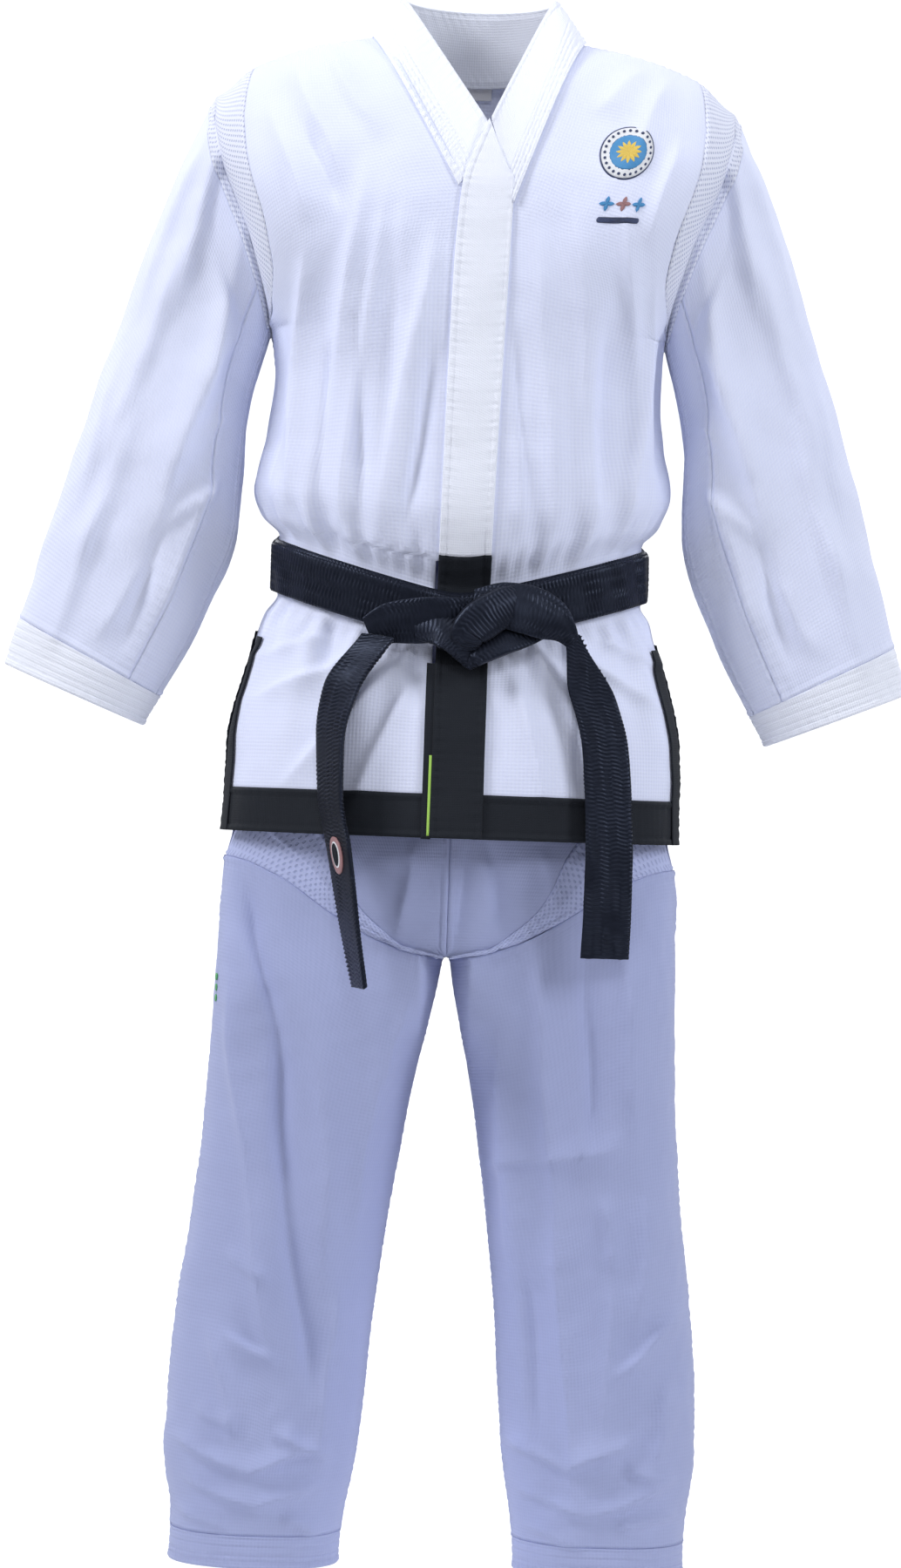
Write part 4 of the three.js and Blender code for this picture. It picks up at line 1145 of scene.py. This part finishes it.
def nape(u, v):
    """The inside of the back below the neck, on a chart like the chest's."""
    return torso(BACK, 90 * (0.5 - u), 500 * v)


u, v = shares(30, 22)
wide, tall = scale_at(nape, (0.49, 0.928))
p = nape(0.49 + (u - 0.5) * 22 / wide, 0.928 + (v - 0.5) * 16 / tall)
curl = stack(0 * u, 0.5 * np.sin(6 * u) - 6, 0 * u)
label = thicken(mesh_piece("neck_label", p + curl), 0.8)
dress(label, label_white, "label_white", "jacket", ["neck_label"])
print("embroidery done")

# %% [markdown]
# ## Trousers: waist and seat
# The trousers hang from an elastic waistband. Front rise and seat are cut from one oval hip surface,
# and a net insert lets air through between the rise and each leg.

# %% Hip surface
hip_width = profile([(-345, 211), (-300, 210), (-265, 208), (-239, 202), (-180, 197), (-120, 181),
                     (-60, 167), (-20, 161), (25, 160)])
hip_front = profile([(-345, 113), (-239, 117), (-120, 111), (-60, 106), (-20, 101), (25, 100)])
hip_back = profile([(-345, 114), (-300, 118), (-200, 118), (-120, 108), (-60, 97), (-20, 90), (25, 90)])
leg_top = profile([(0, -350), (62, -334), (104, -312), (154, -280), (190, -266), (215, -262)])
BAND_TOP, BAND_LOW, RISE_LOW = 25.0, -17.0, -347.0
NET_SHARES = (0, 0.14, 0.3, 0.45, 0.65, 0.78, 1)
net_high_x = profile(list(zip(NET_SHARES, (3, 32, 59, 83, 107, 122, 170))))
net_high_z = profile(list(zip(NET_SHARES, (-346, -341, -324, -301, -253, -231, -175))))
net_low_x = profile(list(zip(NET_SHARES, (3, 38, 68, 98, 140, 166, 208))))
rise_x = profile([(-346, 3), (-341, 32), (-324, 59), (-301, 83), (-253, 107), (-231, 122), (-175, 170),
                  (-120, 181)])


def hips(face, phi, z):
    """A point of the hips, by the same rule as the torso."""
    s, c = np.sin(np.radians(phi)), np.maximum(np.cos(np.radians(phi)), 0)
    depth = np.where(face < 0, hip_front(z), hip_back(z))
    return stack(hip_width(z) * s, face * depth * c ** 0.9, z)


def hip_ring(offset, low, high):
    """A ring round the hips between two heights, moved outwards by an offset."""
    def surface(u, v):
        turn = 2 * np.pi * u
        face = np.where(np.cos(turn) > 0, FRONT, BACK)
        p = hips(face, np.degrees(np.arcsin(np.sin(turn))), lerp(low, high, v))
        return p + stack(offset * np.sin(turn), face * offset * np.abs(np.cos(turn)), 0 * u)
    return surface


def hip_angle(x, z):
    """The angle round the hips at a distance from the centre line."""
    return np.degrees(np.arcsin(np.clip(x / hip_width(z), -1, 1)))


def rise_front(u, v):
    """From the crotch to the waistband, as wide as the net's upper seam and then the whole front."""
    z = lerp(RISE_LOW, BAND_LOW, v)
    edge = lerp(hip_angle(rise_x(z), z), 90, smooth(-190, -120, z))
    return hips(FRONT, edge * u, z)


def seat(u, v):
    """Half the back of the trousers, from the seam above the leg up to the waistband."""
    phi = lerp(90, 0, u)
    low = leg_top(205 * np.sin(np.radians(phi)))
    return hips(BACK, phi, lerp(low, BAND_LOW, v))


def hip_net(u, v):
    """The net insert: a crescent from the crotch to the side, between the rise and the leg."""
    high_x, high_z, low_x = net_high_x(u), net_high_z(u), net_low_x(u)
    low_z = leg_top(low_x)
    high = hips(FRONT, hip_angle(high_x, high_z), high_z)
    low = hips(FRONT, hip_angle(low_x, low_z), low_z)
    middle = lerp(low, high, v[..., None])
    bulge = np.sin(np.pi * np.clip(v, 0, 1)) * 4 * u
    return middle + stack(bulge * 0.5, -bulge, 0 * u)


GUSSET_PATH = [(-113, -315, 57), (-113, -327, 46), (-100, -341, 30), (-50, -346, 24), (0, -347, 22),
               (50, -346, 24), (100, -341, 30), (113, -327, 46), (114, -315, 57)]


def crotch(u, v):
    """The gusset between the legs, kept a few millimetres inside the hips' oval."""
    knots = np.linspace(0, 1, len(GUSSET_PATH))
    y, z, half = (profile([(k, row[i]) for k, row in zip(knots, GUSSET_PATH)])(1 - v) for i in range(3))
    x = (0.5 - u) * 2 * half
    reach = np.cos(np.radians(hip_angle(x, z))) ** 0.9
    return stack(x, np.clip(y, 6 - hip_front(z) * reach, hip_back(z) * reach - 4), z)


HIP_FOLDS = [(-30, -240, -46, -330, 9, 5), (34, -240, 52, -325, 9, -5), (-70, -250, -96, -300, 10, -3),
             (84, -250, 100, -305, 10, 4), (14, -250, 10, -330, 6, -3)]


def hip_relief(p):
    """Folds of the rise in front, and fine wrinkles that grow below the waistband."""
    x, y, z = p[..., 0], p[..., 1], p[..., 2]
    fine = 1.2 * wrinkles(x, z, 70, 31) + 0.5 * wrinkles(x + y, z, 26, 32)
    low = smooth(-40, -90, z)
    return np.where(y < 0, ridge(x, z, HIP_FOLDS), 0) + fine * np.clip(low, 0.2, 1)


def net_seam(p):
    """A taped seam along the middle of the net insert."""
    up = lengths(p, 0)
    middle = up[-1:] / 2
    return hip_relief(p) * 0.5 + 1.1 * np.exp(-((up - middle) / 2.6) ** 2)


def leg_bend(side):
    """The leg's body, a point at the crotch and one at the knee."""
    return (LEG_BODY[side], (0, 0, -345), (side * 180, 0, -560))


p = shape(hip_ring(0, BAND_LOW, BAND_TOP), 240, 18, seams="tb", seed=2)
p[:, -1] = p[:, 0]
waist = thicken(mesh_piece("waistband", p, ring=True), CLOTH)
dress(waist, trouser_white, "trouser_white", "jacket", ["waistband"])
u, v = shares(320, 22)
surface = hip_ring(-2.2, BAND_LOW + 2, BAND_TOP - 2)
ribs = 0.5 * np.sin(2 * np.pi * v * 4) + 0.35 * np.sin(2 * np.pi * u * 60)
p = surface(u, v) + normals(surface, u, v) * ribs[..., None]
p[:, -1] = p[:, 0]
band_inside = thicken(mesh_piece("waist_elastic", p, ring=True), 1.0)
dress(band_inside, elastic, "elastic", "jacket", ["waist_elastic"])

for side in (1, -1):
    name, turn = SIDE[side], on_side(side)
    middle, back = ("l", "r") if side > 0 else ("r", "l")
    parts = (("rise_front", rise_front, 60, 90, trouser_white, "trouser_white", middle, hip_relief),
             ("seat", seat, 70, 90, trouser_white, "trouser_white", back, hip_relief),
             ("hip_mesh", hip_net, 90, 34, trouser_net_painted_shade, "mesh_white", "tb", net_seam))
    for kind, surface, columns, rows, finish, slot, seams, relief in parts:
        p = shape(turn(surface), columns, rows, relief=relief, seams=seams, seed=side)
        piece = thicken(mesh_piece(f"{kind}_{name}", p), CLOTH)
        dress(piece, finish, slot, "jacket", [f"{kind}_{name}"], leg_bend(side))
        if kind == "seat":
            declare_cut(piece, p)
p = shape(crotch, 24, 120, lift=0.4, seams="lr", seed=8)
gusset = thicken(mesh_piece("crotch_gusset", p), CLOTH)
dress(gusset, trouser_white, "trouser_white", "jacket", ["crotch_gusset"])
print("hips done")

# %% [markdown]
# ## Trouser legs
# Each leg is a wide tube, squarer at the thigh than at the hem. Long soft folds run down it and break
# into a zigzag of short crumples where the extra length rests above the foot.

# %% Leg surface
leg_outer = profile([(-915, 238), (-875, 238), (-800, 245), (-680, 238), (-560, 223), (-440, 215),
                     (-344, 212), (-262, 209)])
leg_inner = profile([(-915, 82), (-875, 79), (-800, 67), (-680, 57), (-560, 42), (-440, 21), (-370, 6),
                     (-344, 2.5)])
leg_depth = profile([(-915, 68), (-800, 74), (-680, 80), (-560, 88), (-440, 98), (-344, 110), (-262, 115)])
leg_squareness = profile([(-700, 0.95), (-440, 0.75), (-344, 0.6)])
LEG_HEM = 30.0


def leg(angle, z):
    """A point of the left leg: a superellipse whose exponent follows the height."""
    def eased(value):
        return np.sign(value) * np.abs(value) ** leg_squareness(z)
    a = np.radians(angle)
    across = 0.5 + eased(np.cos(a)) / 2
    return stack(lerp(leg_inner(z), leg_outer(z), across), leg_depth(z) * eased(np.sin(a)), z)


def leg_panel(start, end):
    """Half a leg between its seams. Towards its top edge it eases onto the hips, so the seam lies flat."""
    def surface(u, v):
        angle = lerp(start, end, u)
        top = leg_top(leg(angle, -300 + 0 * u)[..., 0])
        p = leg(angle, lerp(LEG_END + LEG_HEM, top, v))
        x, y, z = p[..., 0], p[..., 1], p[..., 2]
        depth = np.where(start < 360, -hip_front(z), hip_back(z))
        hip = depth * np.cos(np.radians(hip_angle(x, np.maximum(z, -345)))) ** 0.9
        near = (1 - smooth(0, 130, top - z)) * smooth(1, 24, x)
        return stack(x, lerp(y, hip, near), z)
    return surface


RIGHT_LEG = [
    (-190, -286, -153, -423, 11, -7), (-153, -423, -139, -584, 12, -8), (-139, -584, -110, -737, 12, -7),
    (-196, -380, -172, -560, 14, 7), (-172, -560, -150, -720, 14, 7), (-112, -400, -100, -640, 18, 6),
    (-60, -420, -76, -600, 14, 5), (-34, -390, -60, -470, 9, 4), (-190, -627, -150, -650, 8, 4),
    (-143, -722, -190, -700, 8, 4), (-200, -700, -176, -800, 12, 6), (-90, -660, -104, -800, 12, 5),
    (-228, -800, -170, -826, 9, 6), (-170, -826, -112, -806, 9, 6), (-222, -836, -160, -858, 8, 5),
    (-160, -858, -104, -838, 8, 5), (-226, -866, -180, -880, 7, 4), (-140, -790, -96, -812, 8, 5),
    (-130, -868, -100, -884, 7, 4), (-214, -770, -178, -786, 8, 4),
]
LEFT_LEG = [
    (41, -538, 174, -517, 12, 5), (152, -566, 162, -631, 9, 5), (220, -669, 170, -727, 10, 6),
    (79, -334, 106, -560, 13, 6), (106, -560, 133, -834, 13, 6), (160, -330, 176, -500, 14, 6),
    (126, -340, 140, -520, 10, -5), (50, -440, 70, -640, 12, 5), (190, -560, 186, -680, 12, 5),
    (84, -640, 100, -780, 12, -5), (160, -640, 158, -790, 12, 5), (214, -740, 206, -810, 10, 5),
    (70, -790, 128, -812, 9, 6), (128, -812, 186, -786, 9, 6), (84, -836, 150, -856, 8, 5),
    (150, -856, 214, -830, 8, 5), (90, -868, 140, -884, 7, 4), (176, -866, 226, -856, 7, 4),
    (180, -812, 226, -826, 8, 5),
]


def leg_relief(p):
    """Folds of both legs: the listed folds in front, and the other leg's folds, softer, behind."""
    x, y, z = p[..., 0], p[..., 1], p[..., 2]
    front = np.where(x < 0, ridge(x, z, RIGHT_LEG), ridge(x, z, LEFT_LEG))
    back = 0.8 * np.where(x < 0, ridge(-x, z, LEFT_LEG), ridge(-x, z, RIGHT_LEG))
    side = smooth(-25, 25, -y)
    ankle = smooth(-740, -800, z)
    fine = (1.8 + 1.4 * ankle) * wrinkles(x, z + 0.7 * y, 75, 41) + 0.7 * wrinkles(x + y, z, 28, 42)
    inner = smooth(0, 30, np.abs(x) - leg_inner(z))
    end = 0.35 + 0.65 * smooth(LEG_END + 10, LEG_END + 50, z)
    return (1.5 * lerp(back, front, side) + fine) * (0.25 + 0.75 * inner) * end * smooth(-250, -300, z)


def hem_stitches(p):
    """The leg's folds, a little proud, with four rows of stitching above the edge."""
    up = lengths(p, 0)
    return leg_relief(p) + 0.6 - 0.7 * sum(np.exp(-((up - at) / 0.9) ** 2) for at in (4, 12, 20, 27))


for side in (1, -1):
    name, turn = SIDE[side], on_side(side)
    for kind, start, end in (("leg_front", 180, 360), ("leg_back", 360, 540)):
        p = shape(turn(leg_panel(start, end)), 104, 190, relief=leg_relief, seams="lrt", seed=side)
        piece = thicken(mesh_piece(f"{kind}_{name}", p), CLOTH)
        dress(piece, trouser_white, "trouser_white", "jacket", [f"{kind}_{name}"], leg_bend(side))
        declare_cut(piece, p)
    surface = turn(lambda u, v: leg(lerp(180, 540, u), lerp(LEG_END, LEG_END + LEG_HEM, v)))
    p = shape(surface, 220, 34, relief=hem_stitches, seams="b", seed=side)
    p[:, -1] = p[:, 0]
    hem = thicken(mesh_piece(f"leg_hem_{name}", p, ring=True), CLOTH + 0.4)
    dress(hem, trouser_white, "trouser_white", "jacket", [f"leg_hem_{name}"], leg_bend(side))


thigh = mirrored(lambda u, v: leg(lerp(270, 360, u), lerp(-440, -340, v)))


def folded_thigh(u, v):
    """The side of the right thigh with its folds, for the tag that is sewn on it."""
    p = thigh(u, v)
    return p + np.array([-0.75, -0.66, 0]) * leg_relief(p)[..., None]


TAG = (0.22, 0.56)
for i, z in enumerate((10, 0, -10)):
    motif(f"side_tag_{i}", folded_thigh, TAG, oval(4.5, 3.6, 48, 0, z), 0.7, tag_green, "tag_green",
          "jacket", ["side_tag"] if i == 0 else [], base=0.5, bend=leg_bend(-1))
print("trousers done")

# %% [markdown]
# ## Stage, light and camera
# The suit hangs in the air as if worn, over a round pale paper floor and inside a white room: the world
# is white where the camera looks straight at it, and dim where it lights the cloth. There is no wall, so
# the back can be seen too. Broad soft lights keep the white cloth bright, and the left one is stronger,
# so the folds get a soft shaded side. A tiny lamp inside the collar lifts the dark of the neck. The
# camera leans by two degrees.

# %% Paper floor
FLOOR = LEG_END * MM - 0.35
turn, radius = np.meshgrid(np.linspace(0, 2 * np.pi, 97), np.linspace(1.85, 0.002, 12))
paper = mesh_piece("paper_floor", stack(radius * np.cos(turn), radius * np.sin(turn), FLOOR) / MM, ring=True)
paper_finish = Finish("white paper", 0.9)
uv = paper_finish.cloth()[0]
fibre = paper_finish.noise(uv, 30.0, 4.0)
paper_finish.colour(paper_finish.blend(fibre, (0.95, 0.95, 0.96, 1), (0.98, 0.98, 0.985, 1)))
paper.data.materials.append(paper_finish.bump(fibre, 0.0002))

# %% Lights
scene = bpy.context.scene
world = bpy.data.worlds.new("studio")
scene.world = world
world.use_nodes = True
room = world.node_tree.nodes["Background"]
room.inputs["Color"].default_value = (0.96, 0.97, 1.0, 1)
seen = world.node_tree.nodes.new("ShaderNodeLightPath")
strength = world.node_tree.nodes.new("ShaderNodeMapRange")
strength.inputs["To Min"].default_value = 0.26
strength.inputs["To Max"].default_value = 1.2
world.node_tree.links.new(seen.outputs["Is Camera Ray"], strength.inputs["Value"])
world.node_tree.links.new(strength.outputs["Result"], room.inputs["Strength"])


def softbox(name, place, target, size, power, colour=(1, 1, 1)):
    """A large square light that faces a point."""
    light = bpy.data.lights.new(name, "AREA")
    light.shape = "RECTANGLE"
    light.size, light.size_y = size
    light.energy = power
    light.color = colour
    lamp = bpy.data.objects.new(name, light)
    lamp.location = place
    lamp.rotation_euler = (Vector(target) - Vector(place)).to_track_quat("-Z", "Y").to_euler()
    scene.collection.objects.link(lamp)
    return lamp


softbox("key", (-2.7, -1.3, 2.1), (0, 0, 0.2), (0.9, 1.4), 84, (0.98, 0.985, 1.0))
softbox("fill", (2.9, -1.5, 1.6), (0, 0, 0.1), (0.9, 1.4), 56, (0.95, 0.97, 1.0))
softbox("front", (0.3, -4.2, 2.2), (0, 0, 0.2), (1.4, 1.0), 30, (0.97, 0.98, 1.0))
softbox("top", (0, -0.5, 3.0), (0, 0, 0.3), (1.8, 1.2), 20)
softbox("inside", (0, -0.02, 0.42), (0, 0.1, 0.43), (0.06, 0.03), 0.012)
softbox("rear_key", (-2.4, 2.9, 1.9), (0, 0, 0), (0.9, 1.4), 50, (0.95, 0.97, 1.0))
softbox("rear_fill", (2.4, 2.9, 1.9), (0, 0, 0), (0.9, 1.4), 42, (0.95, 0.97, 1.0))

# %% Camera
camera_data = bpy.data.cameras.new("camera")
camera = bpy.data.objects.new("camera", camera_data)
scene.collection.objects.link(camera)
camera_data.sensor_fit = "VERTICAL"
camera_data.sensor_height = 24
camera_data.lens = 12 / np.tan(np.radians(18.4 / 2))
camera.location = (-0.0015, -4.5, -0.190)
camera.rotation_euler = (np.radians(90), np.radians(-2), 0)
scene.camera = camera
scene.view_settings.view_transform = "Standard"

# %% [markdown]
# ## Sizes of the cut panels
# The width, length and area noted for the main panels are printed at the end.

# %% Finish
print("cut sizes in metres:", cut_sizes)
